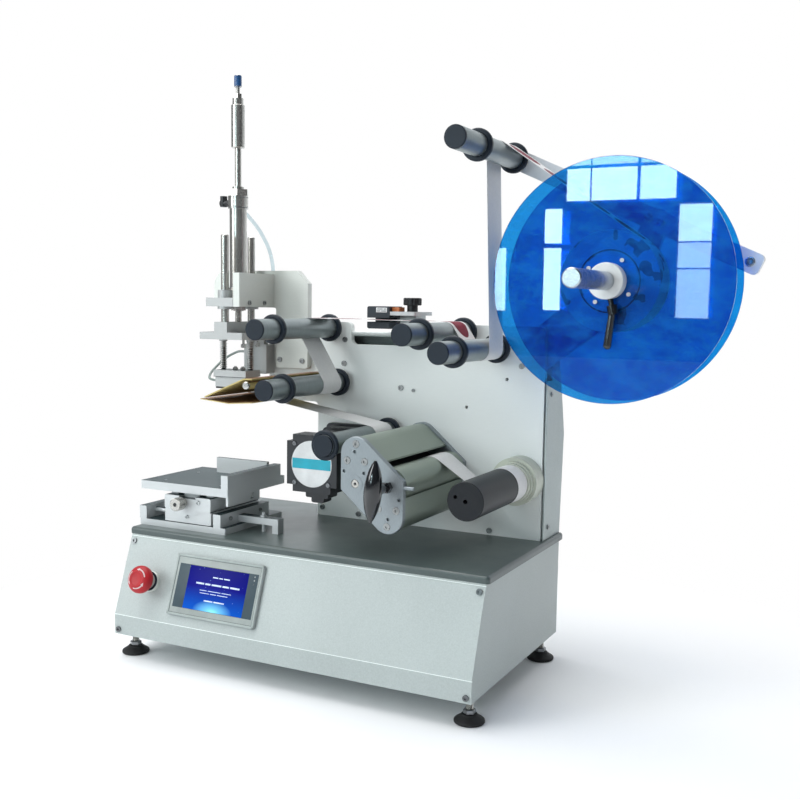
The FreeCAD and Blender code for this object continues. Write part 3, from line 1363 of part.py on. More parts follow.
def build_sensor():
    block_top = sensor_plate_bottom_z
    block = box(sensor_block_left_x, sensor_block_right_x, sensor_block_front_y, sensor_block_back_y,
                sensor_block_bottom_z, block_top)
    post = box(sensor_block_left_x, sensor_block_right_x, sensor_post_front_y, sensor_block_back_y,
               sensor_rod_z + 9, block_top)
    plate = box(sensor_plate_left_x, sensor_plate_right_x, sensor_plate_front_y, sensor_block_back_y,
                sensor_plate_bottom_z, sensor_plate_bottom_z + sensor_plate_thickness)
    plate = round_edges(plate, 2.0, V(0, 0, 1))
    carriage = block.fuse([post, plate]).removeSplitter()
    carriage = carriage.cut(rod_x(sensor_rod_y, sensor_rod_z, sensor_rod_radius + run_fit,
                                  sensor_block_left_x, sensor_block_right_x))
    plate_top = sensor_plate_bottom_z + sensor_plate_thickness
    carriage = carriage.cut(rod_z(thumb_x, thumb_y, thumb_stem_radius + run_fit,
                                  plate_top - thumb_stem_depth - loose_fit, plate_top))
    fork = box(fork_left_x, sensor_plate_left_x, fork_front_y, fork_back_y, fork_bottom_z, fork_top_z)
    slot = box(fork_left_x, sensor_plate_left_x, fork_front_y, fork_web_y, fork_slot_bottom_z, fork_slot_top_z)
    fork = round_edges(fork, 3.0, V(0, 1, 0), lambda p: p.x < fork_left_x + 1).cut(slot)
    shoe = box(sensor_plate_left_x, sensor_plate_left_x + 12, fork_front_y + 8, fork_front_y + 26,
               plate_top, plate_top + 6.5)
    add("sensor_carriage", carriage, fork, shoe)

    hub = rod_z(thumb_x, thumb_y, thumb_hub_radius, plate_top + run_fit, plate_top + thumb_hub_height)
    head_low = plate_top + thumb_hub_height
    head = rod_z(thumb_x, thumb_y, thumb_head_radius, head_low, head_low + thumb_head_height)
    head = head.makeFillet(2.0, [e for e in head.Edges if e.BoundBox.ZLength < 1e-6])
    for step in range(12):
        turn = math.radians(30 * step)
        reach = thumb_head_radius + 1.2
        head = head.cut(rod_z(thumb_x + reach * math.cos(turn), thumb_y + reach * math.sin(turn), 2.2,
                              head_low, head_low + thumb_head_height))
    stem = rod_z(thumb_x, thumb_y, thumb_stem_radius, plate_top - thumb_stem_depth, plate_top + run_fit)
    add("thumb_knob", head.fuse([hub, stem]).removeSplitter())


def web_stops():
    """The circles that the web turns about, in order: x, z, radius, and +1 for a left turn."""
    places = {name: (x, z) for name, x, z, _, _, _ in guide_rollers}
    tube = tube_radius
    lip = peel_lip_sheet
    stops = [(reel_x, reel_z, roll_radius, 1)]
    stops.append(places["guide_roller_6"] + (tube, 1))
    stops.append(places["guide_roller_4"] + (tube, -1))
    stops.append(places["guide_roller_3"] + (tube, 1))
    stops.append(places["guide_roller_1"] + (tube, 1))
    stops.append(places["guide_roller_2"] + (tube, -1))
    stops.append((peel_tip_x + lip / 2, peel_tip_z + lip / 2, lip * 0.75, 1))
    stops.append(places["guide_roller_5"] + (tube, -1))
    stops.append((drive_x, drive_z, nip_roller_radius, 1))
    stops.append((nip_x, drive_z, nip_roller_radius, -1))
    stops.append((rewind_x, rewind_z, rewind_radius, 1))
    return stops


def web_arc(x, z, inner, start, turn):
    """One wrap of the web about a circle, from a start angle through a turn, in radians."""
    outer = inner + web_thickness
    points = {}
    for key, radius in (("in", inner), ("out", outer)):
        for part in (0.0, 0.5, 1.0):
            angle = start + turn * part
            points[key, part] = V(x + radius * math.cos(angle), web_front_y, z + radius * math.sin(angle))
    edges = [Part.Arc(points["in", 0.0], points["in", 0.5], points["in", 1.0]).toShape(),
             Part.LineSegment(points["in", 1.0], points["out", 1.0]).toShape(),
             Part.Arc(points["out", 1.0], points["out", 0.5], points["out", 0.0]).toShape(),
             Part.LineSegment(points["out", 0.0], points["in", 0.0]).toShape()]
    return Part.Face(Part.Wire(edges)).extrude(V(0, web_back_y - web_front_y, 0))


def build_web():
    stops = web_stops()
    middle = web_gap + web_thickness / 2
    headings = []
    for (x1, z1, r1, s1), (x2, z2, r2, s2) in zip(stops[:-1], stops[1:]):
        lift = s2 * (r2 + middle) - s1 * (r1 + middle)
        gap = math.hypot(x2 - x1, z2 - z1)
        headings.append(math.atan2(z2 - z1, x2 - x1) - math.asin(lift / gap))
    pieces = []
    half = web_thickness / 2
    for index, heading in enumerate(headings):
        nx = -math.sin(heading)
        nz = math.cos(heading)
        ends = []
        for x, z, radius, side in stops[index:index + 2]:
            reach = side * (radius + middle)
            ends.append((x - nx * reach, z - nz * reach))
        outline = [(ends[0][0] + nx * half, ends[0][1] + nz * half),
                   (ends[1][0] + nx * half, ends[1][1] + nz * half),
                   (ends[1][0] - nx * half, ends[1][1] - nz * half),
                   (ends[0][0] - nx * half, ends[0][1] - nz * half)]
        if math.hypot(ends[1][0] - ends[0][0], ends[1][1] - ends[0][1]) > web_gap:
            pieces.append(prism_xz(outline, web_front_y, web_back_y))
    for index, (x, z, radius, side) in enumerate(stops[1:-1]):
        arrive = headings[index]
        leave = headings[index + 1]
        turn = (leave - arrive) % (2 * math.pi)
        if side < 0:
            turn -= 2 * math.pi
        start = arrive - side * math.pi / 2
        if abs(turn) > 1e-3:
            pieces.append(web_arc(x, z, radius + web_gap, start, turn))
    x, z, radius, side = stops[-1]
    pieces.append(web_arc(x, z, radius + web_gap, headings[-1] - math.pi / 2, math.radians(300)))
    web = pieces[0].fuse(pieces[1:]).removeSplitter()
    hub_front = rewind_steps[-1][2] - loose_fit
    web = web.cut(rod_y(rewind_x, rewind_z, rewind_steps[0][0] + loose_fit, hub_front, web_back_y))
    print("web solids", len(web.Solids), "valid", web.isValid())
    add("label_web", *web.Solids)


def build_table():
    base_top = deck_z + base_thickness
    base = box(base_left_x, base_right_x, table_front_y, table_back_y, deck_z, base_top)
    base = round_edges(base, 2.0, V(0, 0, 1))
    rail_top = base_top + rail_height
    left_rail = box(base_left_x, base_left_x + rail_width, table_front_y, rail_back_y, base_top, rail_top)
    right_rail = box(rail_right_x - rail_width, rail_right_x, table_front_y, rail_back_y,
                     base_top, rail_top)
    rod_left = base_left_x + rail_width
    rod_right = rail_right_x - rail_width
    rods = [rod_x(y, slide_rod_z, slide_rod_radius, rod_left, rod_right)
            for y in (slide_rod_front_y, slide_rod_back_y)]
    clamp_top = clamp_bottom_z + clamp_thickness
    clamp_back_y = clamp_front_y + clamp_width
    bar = box(rail_right_x, clamp_right_x, clamp_front_y, clamp_back_y, clamp_bottom_z, clamp_top)
    foot = box(clamp_right_x - clamp_foot, clamp_right_x, clamp_front_y, clamp_back_y, deck_z, clamp_top)
    bolt_y = (clamp_front_y + clamp_back_y) / 2
    clamp = bar.fuse(foot).removeSplitter()
    clamp = clamp.cut(rod_z(clamp_bolt_x, bolt_y, clamp_bolt_radius, clamp_bottom_z, clamp_top))
    bolt = rod_z(clamp_bolt_x, bolt_y, clamp_bolt_radius, deck_z, clamp_bolt_top_z)
    bolt = bolt.fuse(hexagon_z(clamp_bolt_x, bolt_y, clamp_bolt_radius * 1.8, clamp_top, clamp_top + 3))
    add("table_base", base, left_rail, right_rail, *rods, clamp, bolt.removeSplitter())

    low_z = base_top + slide_lift
    mid_z = low_z + slide_lower_height
    top_z = mid_z + slide_upper_height
    inset = 1.0
    lower = box(slide_left_x, slide_right_x, table_front_y + inset, slide_back_y, low_z, mid_z)
    lower = round_edges(lower, 2.5, V(0, 1, 0), lambda p: p.z > mid_z - 1)
    for y in (slide_rod_front_y, slide_rod_back_y):
        lower = lower.cut(rod_x(y, slide_rod_z, slide_rod_radius + run_fit, slide_left_x, slide_right_x))
    upper = box(slide_left_x, slide_right_x, table_front_y, slide_back_y, mid_z, top_z)
    upper = round_edges(upper, 2.5, V(0, 1, 0))
    key_x = (slide_left_x + slide_right_x) / 2 - 0.25
    groove = [(key_x - key_half_width - key_flare, top_z - key_depth),
              (key_x + key_half_width + key_flare, top_z - key_depth),
              (key_x + key_half_width, top_z), (key_x - key_half_width, top_z)]
    upper = upper.cut(prism_xz(groove, table_front_y, slide_back_y))
    upper = upper.cut(rod_y(table_knob_x, table_knob_z, table_knob_stem + run_fit, table_front_y,
                            table_front_y + table_knob_seat))
    table_bottom = top_z + table_lift
    strips = []
    for x in (slide_left_x + wear_strip_inset, slide_right_x - wear_strip_inset - wear_strip_width):
        strips.append(box(x, x + wear_strip_width, table_front_y + 12, slide_back_y - 2, top_z,
                          table_bottom - run_fit))
    front_screws = [screw(V(-200.4, table_front_y + inset, slide_rod_z), V(0, -1, 0), 2.5),
                    screw(V(-179.4, table_front_y, table_knob_z + 1.7), V(0, -1, 0), 3.2)]
    add("table_cross_slide", lower, upper, *strips, *front_screws)

    table_top_z = table_bottom + table_thickness
    plate = box(table_left_x, table_right_x, table_front_y, table_back_y, table_bottom, table_top_z)
    plate = round_edges(plate, 1.5, V(0, 0, 1))
    play = run_fit
    key = [(key_x - key_half_width - key_flare + play, top_z - key_depth + play),
           (key_x + key_half_width + key_flare - play, top_z - key_depth + play),
           (key_x + key_half_width - play, top_z), (key_x + key_half_width - play, table_bottom),
           (key_x - key_half_width + play, table_bottom), (key_x - key_half_width + play, top_z)]
    key_solid = prism_xz(key, table_front_y + table_travel, slide_back_y - table_travel / 2)
    skirt = box(table_right_x - skirt_thickness, table_right_x, table_front_y + 1, skirt_back_y,
                table_bottom - skirt_depth, table_bottom)
    slot = box(table_right_x - skirt_thickness, table_right_x, skirt_slot_front_y, skirt_slot_back_y,
               table_bottom - skirt_depth + 3, table_bottom - 1)
    plate = plate.fuse([key_solid, skirt.cut(slot)]).removeSplitter()
    for dx in (-0.5, 0.5):
        for dy in (-0.5, 0.5):
            plate = plate.cut(rod_z(fixture_x + dx * fixture_pitch_x, fixture_y + dy * fixture_pitch_y,
                                    fixture_hole_radius, table_bottom, table_top_z))
    fence_left = table_right_x - fence_thickness
    side_fence = box(fence_left, table_right_x, table_front_y, fence_back_y, table_top_z,
                     table_top_z + fence_height)
    back_fence = box(back_fence_left_x, fence_left, back_fence_front_y,
                     back_fence_front_y + back_fence_thickness, table_top_z,
                     table_top_z + back_fence_height)
    add("table_top", plate.fuse([side_fence, back_fence]).removeSplitter())

    stem = rod_y(table_knob_x, table_knob_z, table_knob_stem, table_front_y - table_knob_standoff,
                 table_front_y + table_knob_seat - loose_fit)
    collar = rod_y(table_knob_x, table_knob_z, table_knob_stem + 3,
                   table_front_y - table_knob_standoff, table_front_y - 2)
    head_back = table_front_y - table_knob_standoff
    head = rod_y(table_knob_x, table_knob_z, table_knob_radius, head_back - table_knob_length, head_back)
    head = head.makeChamfer(0.8, [e for e in head.Edges if e.BoundBox.YLength < 1e-6])
    head = head.cut(hexagon_y(table_knob_x, table_knob_z, 2.5, head_back - table_knob_length,
                              head_back - table_knob_length + 4))
    add("table_knob", head.fuse([stem, collar]).removeSplitter())


def build_screws():
    heads = []
    for side in (-1, 1):
        x = side * (cabinet_half_width - panel_screw_inset)
        heads.append(screw(V(x, slope_y(slope_top_z - 8), slope_top_z - 8), slope_out))
        heads.append(screw(V(x, skirt_front_y, floor_gap + panel_screw_inset), V(0, -1, 0)))
    for x, z in ((-47.6, 470.0), (-49.3, 432.8), (50.6, 399.3), (244.7, 439.9), (200.4, 195.0),
                 (-86.5, 201.3), (-21.0, 196.4)):
        heads.append(screw(V(x, 0, z), V(0, -1, 0)))
    heads.append(screw(V(72.2, 0, 396.3), V(0, -1, 0), 2.6))
    for x, z in ((-161.0, 435.4), (-119.4, 434.4)):
        heads.append(screw(V(x, -bracket_thickness, z), V(0, -1, 0)))
    for y in (-81.0, -40.6):
        heads.append(screw(V(cheek_left_x + cheek_thickness, y, block_bottom_z + 6.2), V(1, 0, 0), 3.6))
    for x, z in drive_screw_places():
        seat = V(x, drive_front_y + drive_screw_sink, z)
        heads.append(screw(seat, V(0, -1, 0), drive_screw_radius, drive_screw_sink + 0.4))
    for y in (slide_rod_front_y, slide_rod_back_y):
        heads.append(screw(V(rail_right_x, y, slide_rod_z), V(1, 0, 0), 3.0))
    top_x, top_z = guide_rollers[top_roller][1:3]
    along = V(cross_end_x - top_x, 0, cross_end_z - top_z).normalize()
    joint = V(top_x, cross_front_y, top_z) + along * cross_joint_along
    for place in (joint - along * 9, joint + along * 9, V(cross_end_x, cross_front_y, cross_end_z)):
        heads.append(screw(place, V(0, -1, 0), 5.0, 4.0))
    for z in (206.0, 400.0):
        heads.append(screw(V(cover_right_x, cover_foot_y / 4, z), V(1, 0, 0), 3.6))
    add("socket_screws", *heads)


build_feet()
build_cabinet()
build_operator_panel()
build_main_plate()
build_rollers()
build_reel()
build_drive()
build_motor()
build_rewind()
build_peel_plate()
build_press_frame()
build_press_head()
build_sensor()
build_web()
build_table()
build_screws()

# The part's own frame: the origin under the middle of the whole machine, on the floor.
whole = Part.makeCompound([solid for solids in nodes.values() for solid in solids]).BoundBox
shift = V(-(whole.XMin + whole.XMax) / 2, -(whole.YMin + whole.YMax) / 2, -whole.ZMin)

for name, solids in nodes.items():
    shape = solids[0] if len(solids) == 1 else Part.makeCompound(solids)
    shape.translate(shift)
    shape.exportStep("parts/" + name + ".step")

print("nodes", len(nodes))
print("size %.1f x %.1f x %.1f" % (whole.XLength, whole.YLength, whole.ZLength))
print("shift %.3f %.3f %.3f" % (shift.x, shift.y, shift.z))
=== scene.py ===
import math

import bmesh
import bpy
from mathutils import Matrix, Vector


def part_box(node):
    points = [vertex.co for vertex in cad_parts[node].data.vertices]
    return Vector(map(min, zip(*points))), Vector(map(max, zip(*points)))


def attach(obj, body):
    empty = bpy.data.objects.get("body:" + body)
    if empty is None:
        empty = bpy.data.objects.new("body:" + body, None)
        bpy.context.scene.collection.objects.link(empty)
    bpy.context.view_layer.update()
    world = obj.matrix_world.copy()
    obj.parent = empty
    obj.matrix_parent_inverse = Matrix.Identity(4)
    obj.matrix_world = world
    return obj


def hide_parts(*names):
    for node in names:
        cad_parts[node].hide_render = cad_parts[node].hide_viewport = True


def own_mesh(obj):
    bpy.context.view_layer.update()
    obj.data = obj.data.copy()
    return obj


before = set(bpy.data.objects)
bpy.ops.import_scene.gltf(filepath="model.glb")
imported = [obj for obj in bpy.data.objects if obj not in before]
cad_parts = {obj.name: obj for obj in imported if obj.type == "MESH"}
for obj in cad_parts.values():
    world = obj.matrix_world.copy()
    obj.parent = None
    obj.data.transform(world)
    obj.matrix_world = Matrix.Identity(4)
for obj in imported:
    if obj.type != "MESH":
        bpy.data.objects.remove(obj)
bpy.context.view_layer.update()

# The machine's own millimetre frame: X = 0 in the middle of the cabinet, Y = 0 at the main plate's
# front face, Z = 0 on the floor. The top plate's corner says where that lies in the model.
plateLow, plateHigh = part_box("top_plate")
machineOrigin = Vector((plateLow.x + 0.290, plateLow.y + 0.222, 0.0))


def spot(x, y, z):
    return machineOrigin + Vector((x, y, z)) * 0.001


reelCentre = spot(390.0, 0, 559.4)
rewindCentre = spot(247.6, 0, 276.4)
tableScrewCentre = spot(-205.0, 0, 229.5)


def startMaterial(name):
    material = bpy.data.materials.new(name)
    material.use_nodes = True
    tree = material.node_tree
    shader = tree.nodes["Principled BSDF"]
    return material, tree, shader


def addNode(tree, kind, **settings):
    node = tree.nodes.new(kind)
    for key, value in settings.items():
        setattr(node, key, value)
    return node


def mathNode(tree, operation, first, second=None, third=None):
    node = addNode(tree, "ShaderNodeMath", operation=operation)
    for socket, value in zip(node.inputs, (first, second, third)):
        if value is None:
            continue
        if hasattr(value, "links"):
            tree.links.new(value, socket)
        else:
            socket.default_value = value
    return node.outputs[0]


def objectCoords(tree, scale=(1, 1, 1), turn=(0, 0, 0), shift=(0, 0, 0)):
    coords = addNode(tree, "ShaderNodeTexCoord")
    mapping = addNode(tree, "ShaderNodeMapping")
    mapping.inputs["Scale"].default_value = scale
    mapping.inputs["Rotation"].default_value = turn
    mapping.inputs["Location"].default_value = shift
    tree.links.new(coords.outputs["Object"], mapping.inputs["Vector"])
    return mapping.outputs["Vector"]


def noise(tree, vector, scale, detail=3.0, rough=0.55):
    node = addNode(tree, "ShaderNodeTexNoise")
    node.inputs["Scale"].default_value = scale
    node.inputs["Detail"].default_value = detail
    node.inputs["Roughness"].default_value = rough
    tree.links.new(vector, node.inputs["Vector"])
    return node.outputs["Fac"]


def ramp(tree, value, stops):
    node = addNode(tree, "ShaderNodeValToRGB")
    elements = node.color_ramp.elements
    while len(elements) < len(stops):
        elements.new(0.5)
    for element, (place, color) in zip(elements, stops):
        element.position = place
        element.color = (*color[:3], 1.0)
    tree.links.new(value, node.inputs["Fac"])
    return node.outputs["Color"]


def spread(tree, value, low, high):
    node = addNode(tree, "ShaderNodeMapRange")
    node.inputs["To Min"].default_value = low
    node.inputs["To Max"].default_value = high
    tree.links.new(value, node.inputs["Value"])
    return node.outputs["Result"]


def bump(tree, shader, height, distance, strength=1.0, previous=None):
    node = addNode(tree, "ShaderNodeBump")
    node.inputs["Distance"].default_value = distance
    node.inputs["Strength"].default_value = strength
    tree.links.new(height, node.inputs["Height"])
    if previous is not None:
        tree.links.new(previous, node.inputs["Normal"])
    tree.links.new(node.outputs["Normal"], shader.inputs["Normal"])
    return node.outputs["Normal"]


def shade(color, amount):
    return tuple(max(0.0, min(1.0, channel * amount)) for channel in color)


def coatedMetal(name, color, rough=0.42, grain=520.0, depth=0.00010, coat=0.1):
    material, tree, shader = startMaterial(name)
    coords = objectCoords(tree)
    broad = noise(tree, coords, 6.0, 4.0)
    fine = noise(tree, coords, grain, 2.0)
    speckle = mathNode(tree, "MULTIPLY_ADD", fine, 0.6, mathNode(tree, "MULTIPLY", broad, 0.4))
    tree.links.new(ramp(tree, speckle, [(0.35, shade(color, 0.91)), (0.65, shade(color, 1.07))]),
                   shader.inputs["Base Color"])
    tree.links.new(spread(tree, noise(tree, coords, 30.0, 5.0), rough - 0.06, rough + 0.08),
                   shader.inputs["Roughness"])
    bump(tree, shader, fine, depth, 0.5)
    shader.inputs["Coat Weight"].default_value = coat
    shader.inputs["Coat Roughness"].default_value = 0.35
    return material


def metal(name, color, rough=0.35, grain=(60, 60, 60), turn=(0, 0, 0), depth=0.00002, metallic=1.0,
          wear=0.06):
    material, tree, shader = startMaterial(name)
    stretched = objectCoords(tree, grain, turn)
    streak = noise(tree, stretched, 20.0, 4.0, 0.6)
    broad = noise(tree, objectCoords(tree), 14.0, 5.0)
    mixed = mathNode(tree, "MULTIPLY_ADD", streak, 0.6, mathNode(tree, "MULTIPLY", broad, 0.4))
    tree.links.new(ramp(tree, mixed, [(0.3, shade(color, 1 - wear)), (0.7, shade(color, 1 + wear))]),
                   shader.inputs["Base Color"])
    tree.links.new(spread(tree, mixed, rough - 0.08, rough + 0.1), shader.inputs["Roughness"])
    shader.inputs["Metallic"].default_value = metallic
    bump(tree, shader, streak, depth, 0.4)
    return material


def turned(name, color, centre, rough=0.28, ringScale=2600.0, depth=0.00003, metallic=1.0):
    material, tree, shader = startMaterial(name)
    coords = objectCoords(tree)
    parts = addNode(tree, "ShaderNodeSeparateXYZ")
    tree.links.new(coords, parts.inputs["Vector"])
    dx = mathNode(tree, "SUBTRACT", parts.outputs["X"], centre.x)
    dz = mathNode(tree, "SUBTRACT", parts.outputs["Z"], centre.z)
    reach = mathNode(tree, "SQRT", mathNode(tree, "ADD", mathNode(tree, "MULTIPLY", dx, dx),
                                            mathNode(tree, "MULTIPLY", dz, dz)))
    joined = addNode(tree, "ShaderNodeCombineXYZ")
    tree.links.new(reach, joined.inputs["X"])
    tree.links.new(parts.outputs["Y"], joined.inputs["Y"])
    lines = noise(tree, joined.outputs["Vector"], ringScale, 2.0)
    tree.links.new(ramp(tree, lines, [(0.3, shade(color, 0.9)), (0.7, shade(color, 1.08))]),
                   shader.inputs["Base Color"])
    tree.links.new(spread(tree, lines, rough - 0.06, rough + 0.1), shader.inputs["Roughness"])
    shader.inputs["Metallic"].default_value = metallic
    shader.inputs["Specular IOR Level"].default_value = 0.5 if metallic else 0.2
    bump(tree, shader, lines, depth, 0.35)
    return material


def plastic(name, color, rough=0.4, grain=700.0, depth=0.00004, coat=0.0, specular=0.5):
    material, tree, shader = startMaterial(name)
    coords = objectCoords(tree)
    broad = noise(tree, coords, 40.0, 4.0)
    tree.links.new(ramp(tree, broad, [(0.3, shade(color, 0.88)), (0.7, shade(color, 1.1))]),
                   shader.inputs["Base Color"])
    tree.links.new(spread(tree, noise(tree, coords, 120.0, 3.0), rough - 0.06, rough + 0.08),
                   shader.inputs["Roughness"])
    bump(tree, shader, noise(tree, coords, grain, 2.0), depth, 0.5)
    shader.inputs["Coat Weight"].default_value = coat
    shader.inputs["Coat Roughness"].default_value = 0.08
    shader.inputs["Specular IOR Level"].default_value = specular
    return material


def clearSheet(name, color, rough=0.03, dust=0.10, haze=0.0):
    material, tree, shader = startMaterial(name)
    coords = objectCoords(tree)
    cloud = noise(tree, coords, 9.0, 8.0, 0.7)
    tree.links.new(ramp(tree, cloud, [(0.35, shade(color, 0.9)), (0.75, shade(color, 1.12))]),
                   shader.inputs["Base Color"])
    smudge = noise(tree, coords, 22.0, 8.0, 0.75)
    tree.links.new(spread(tree, smudge, rough, rough + dust), shader.inputs["Roughness"])
    if haze:
        scuffs = noise(tree, objectCoords(tree, (1, 1, 1.6), (0, 0.6, 0)), 26.0, 9.0, 0.78)
        tree.links.new(ramp(tree, scuffs, [(0.42, (1, 1, 1)), (0.72, (1 - haze,) * 3)]),
                       shader.inputs["Transmission Weight"])
    else:
        shader.inputs["Transmission Weight"].default_value = 1.0
    shader.inputs["IOR"].default_value = 1.49
    # lamps shine through the sheet on to what lies behind it
    lightPath = addNode(tree, "ShaderNodeLightPath")
    through = addNode(tree, "ShaderNodeBsdfTransparent")
    through.inputs["Color"].default_value = (*(0.25 + 0.75 * channel for channel in color), 1.0)
    joined = addNode(tree, "ShaderNodeMixShader")
    output = tree.nodes["Material Output"]
    tree.links.new(lightPath.outputs["Is Shadow Ray"], joined.inputs[0])
    tree.links.new(shader.outputs["BSDF"], joined.inputs[1])
    tree.links.new(through.outputs["BSDF"], joined.inputs[2])
    tree.links.new(joined.outputs["Shader"], output.inputs["Surface"])
    return material


def darkTopMetal(name, upper, side, rough=0.36, metallic=0.35, wear=0.05, specular=0.2):
    # machined plate: upward faces take the upper colour and the rest the side colour; on the table and the blocks the
    # dark tops are a painted dark reflection of the dim room above, on the amber film the upper colour is its brown
    # edge
    material, tree, shader = startMaterial(name)
    normal = addNode(tree, "ShaderNodeNewGeometry").outputs["Normal"]
    parts = addNode(tree, "ShaderNodeSeparateXYZ")
    tree.links.new(normal, parts.inputs["Vector"])
    facing = ramp(tree, parts.outputs["Z"], [(0.70, (0, 0, 0)), (0.80, (1, 1, 1))])
    streak = noise(tree, objectCoords(tree, (3, 60, 60)), 20.0, 4.0, 0.6)
    broad = noise(tree, objectCoords(tree), 9.0, 5.0)
    mixed = mathNode(tree, "MULTIPLY_ADD", streak, 0.5, mathNode(tree, "MULTIPLY", broad, 0.5))
    mix = addNode(tree, "ShaderNodeMix", data_type="RGBA")
    tree.links.new(facing, mix.inputs["Factor"])
    tree.links.new(ramp(tree, mixed, [(0.3, shade(side, 1 - wear)), (0.7, shade(side, 1 + wear))]), mix.inputs["A"])
    tree.links.new(ramp(tree, mixed, [(0.3, shade(upper, 0.88)), (0.7, shade(upper, 1.12))]), mix.inputs["B"])
    tree.links.new(mix.outputs["Result"], shader.inputs["Base Color"])
    tree.links.new(spread(tree, mixed, rough - 0.06, rough + 0.1), shader.inputs["Roughness"])
    shader.inputs["Metallic"].default_value = metallic
    shader.inputs["Specular IOR Level"].default_value = specular
    bump(tree, shader, streak, 0.00002, 0.4)
    return material


def paperMaterial(name, color):
    material, tree, shader = startMaterial(name)
    coords = objectCoords(tree)
    fibre = noise(tree, coords, 260.0, 5.0, 0.6)
    tree.links.new(ramp(tree, fibre, [(0.3, shade(color, 0.95)), (0.7, shade(color, 1.02))]),
                   shader.inputs["Base Color"])
    shader.inputs["Roughness"].default_value = 0.42
    bump(tree, shader, fibre, 0.00002, 0.4)
    return material


labelLook = {"pitch": 0.060, "phase": 0.007, "halfLong": 0.0265, "halfWide": 0.0205, "width": 0.052}


def labelMaterial(name, paper, ink):
    # paper with a printed oval at every pitch, laid out in the strip's own UV metres
    material, tree, shader = startMaterial(name)
    coords = addNode(tree, "ShaderNodeTexCoord")
    parts = addNode(tree, "ShaderNodeSeparateXYZ")
    tree.links.new(coords.outputs["UV"], parts.inputs["Vector"])
    along = mathNode(tree, "FRACT", mathNode(tree, "DIVIDE", mathNode(tree, "ADD", parts.outputs["X"],
                                                                      labelLook["phase"]), labelLook["pitch"]))
    along = mathNode(tree, "MULTIPLY", mathNode(tree, "SUBTRACT", along, 0.5),
                     labelLook["pitch"] / labelLook["halfLong"])
    across = mathNode(tree, "DIVIDE", mathNode(tree, "SUBTRACT", parts.outputs["Y"],
                                               labelLook["width"] / 2), labelLook["halfWide"])
    reach = mathNode(tree, "SQRT", mathNode(tree, "ADD", mathNode(tree, "MULTIPLY", along, along),
                                            mathNode(tree, "MULTIPLY", across, across)))
    scaled = mathNode(tree, "DIVIDE", reach, 2.0)
    color = ramp(tree, scaled, [(0.0, shade(ink, 1.25)), (0.22, shade(ink, 1.1)), (0.24, shade(ink, 0.8)),
                                (0.27, ink), (0.475, shade(ink, 0.9)), (0.49, shade(paper, 0.9)),
                                (0.51, paper)])
    tree.links.new(color, shader.inputs["Base Color"])
    shader.inputs["Roughness"].default_value = 0.55
    shader.inputs["Specular IOR Level"].default_value = 0.12
    bump(tree, shader, noise(tree, objectCoords(tree), 300.0, 4.0), 0.00002, 0.3)
    return material


def splitMetal(name, socket, place, below, above, rough=0.27):
    # one finish below a place on an axis and another above it
    material, tree, shader = startMaterial(name)
    coords = objectCoords(tree)
    parts = addNode(tree, "ShaderNodeSeparateXYZ")
    tree.links.new(coords, parts.inputs["Vector"])
    grain = noise(tree, coords, 300.0, 4.0)
    mix = addNode(tree, "ShaderNodeMix", data_type="RGBA")
    tree.links.new(mathNode(tree, "GREATER_THAN", parts.outputs[socket], place), mix.inputs["Factor"])
    for slotName, color in (("A", below), ("B", above)):
        tree.links.new(ramp(tree, grain, [(0.3, shade(color, 0.8)), (0.7, shade(color, 1.15))]), mix.inputs[slotName])
    tree.links.new(mix.outputs["Result"], shader.inputs["Base Color"])
    tree.links.new(spread(tree, grain, rough - 0.05, rough + 0.1), shader.inputs["Roughness"])
    shader.inputs["Metallic"].default_value = 0.9
    return material


def sensorMaterial(name, split, rise, body, plate, shoe):
    # black fork left of the split, bright plate right of it, and the orange shoe on the plate
    material, tree, shader = startMaterial(name)
    coords = objectCoords(tree)
    parts = addNode(tree, "ShaderNodeSeparateXYZ")
    tree.links.new(coords, parts.inputs["Vector"])
    right = mathNode(tree, "GREATER_THAN", parts.outputs["X"], split)
    above = mathNode(tree, "GREATER_THAN", parts.outputs["Z"], rise)
    grain = noise(tree, coords, 60.0, 4.0)
    layers = [ramp(tree, grain, [(0.3, shade(color, 0.88)), (0.7, shade(color, 1.1))])
              for color in (body, plate, shoe)]
    upper = addNode(tree, "ShaderNodeMix", data_type="RGBA")
    tree.links.new(above, upper.inputs["Factor"])
    tree.links.new(layers[1], upper.inputs["A"])
    tree.links.new(layers[2], upper.inputs["B"])
    mix = addNode(tree, "ShaderNodeMix", data_type="RGBA")
    tree.links.new(right, mix.inputs["Factor"])
    tree.links.new(layers[0], mix.inputs["A"])
    tree.links.new(upper.outputs["Result"], mix.inputs["B"])
    tree.links.new(mix.outputs["Result"], shader.inputs["Base Color"])
    tree.links.new(spread(tree, grain, 0.32, 0.46), shader.inputs["Roughness"])
    return material


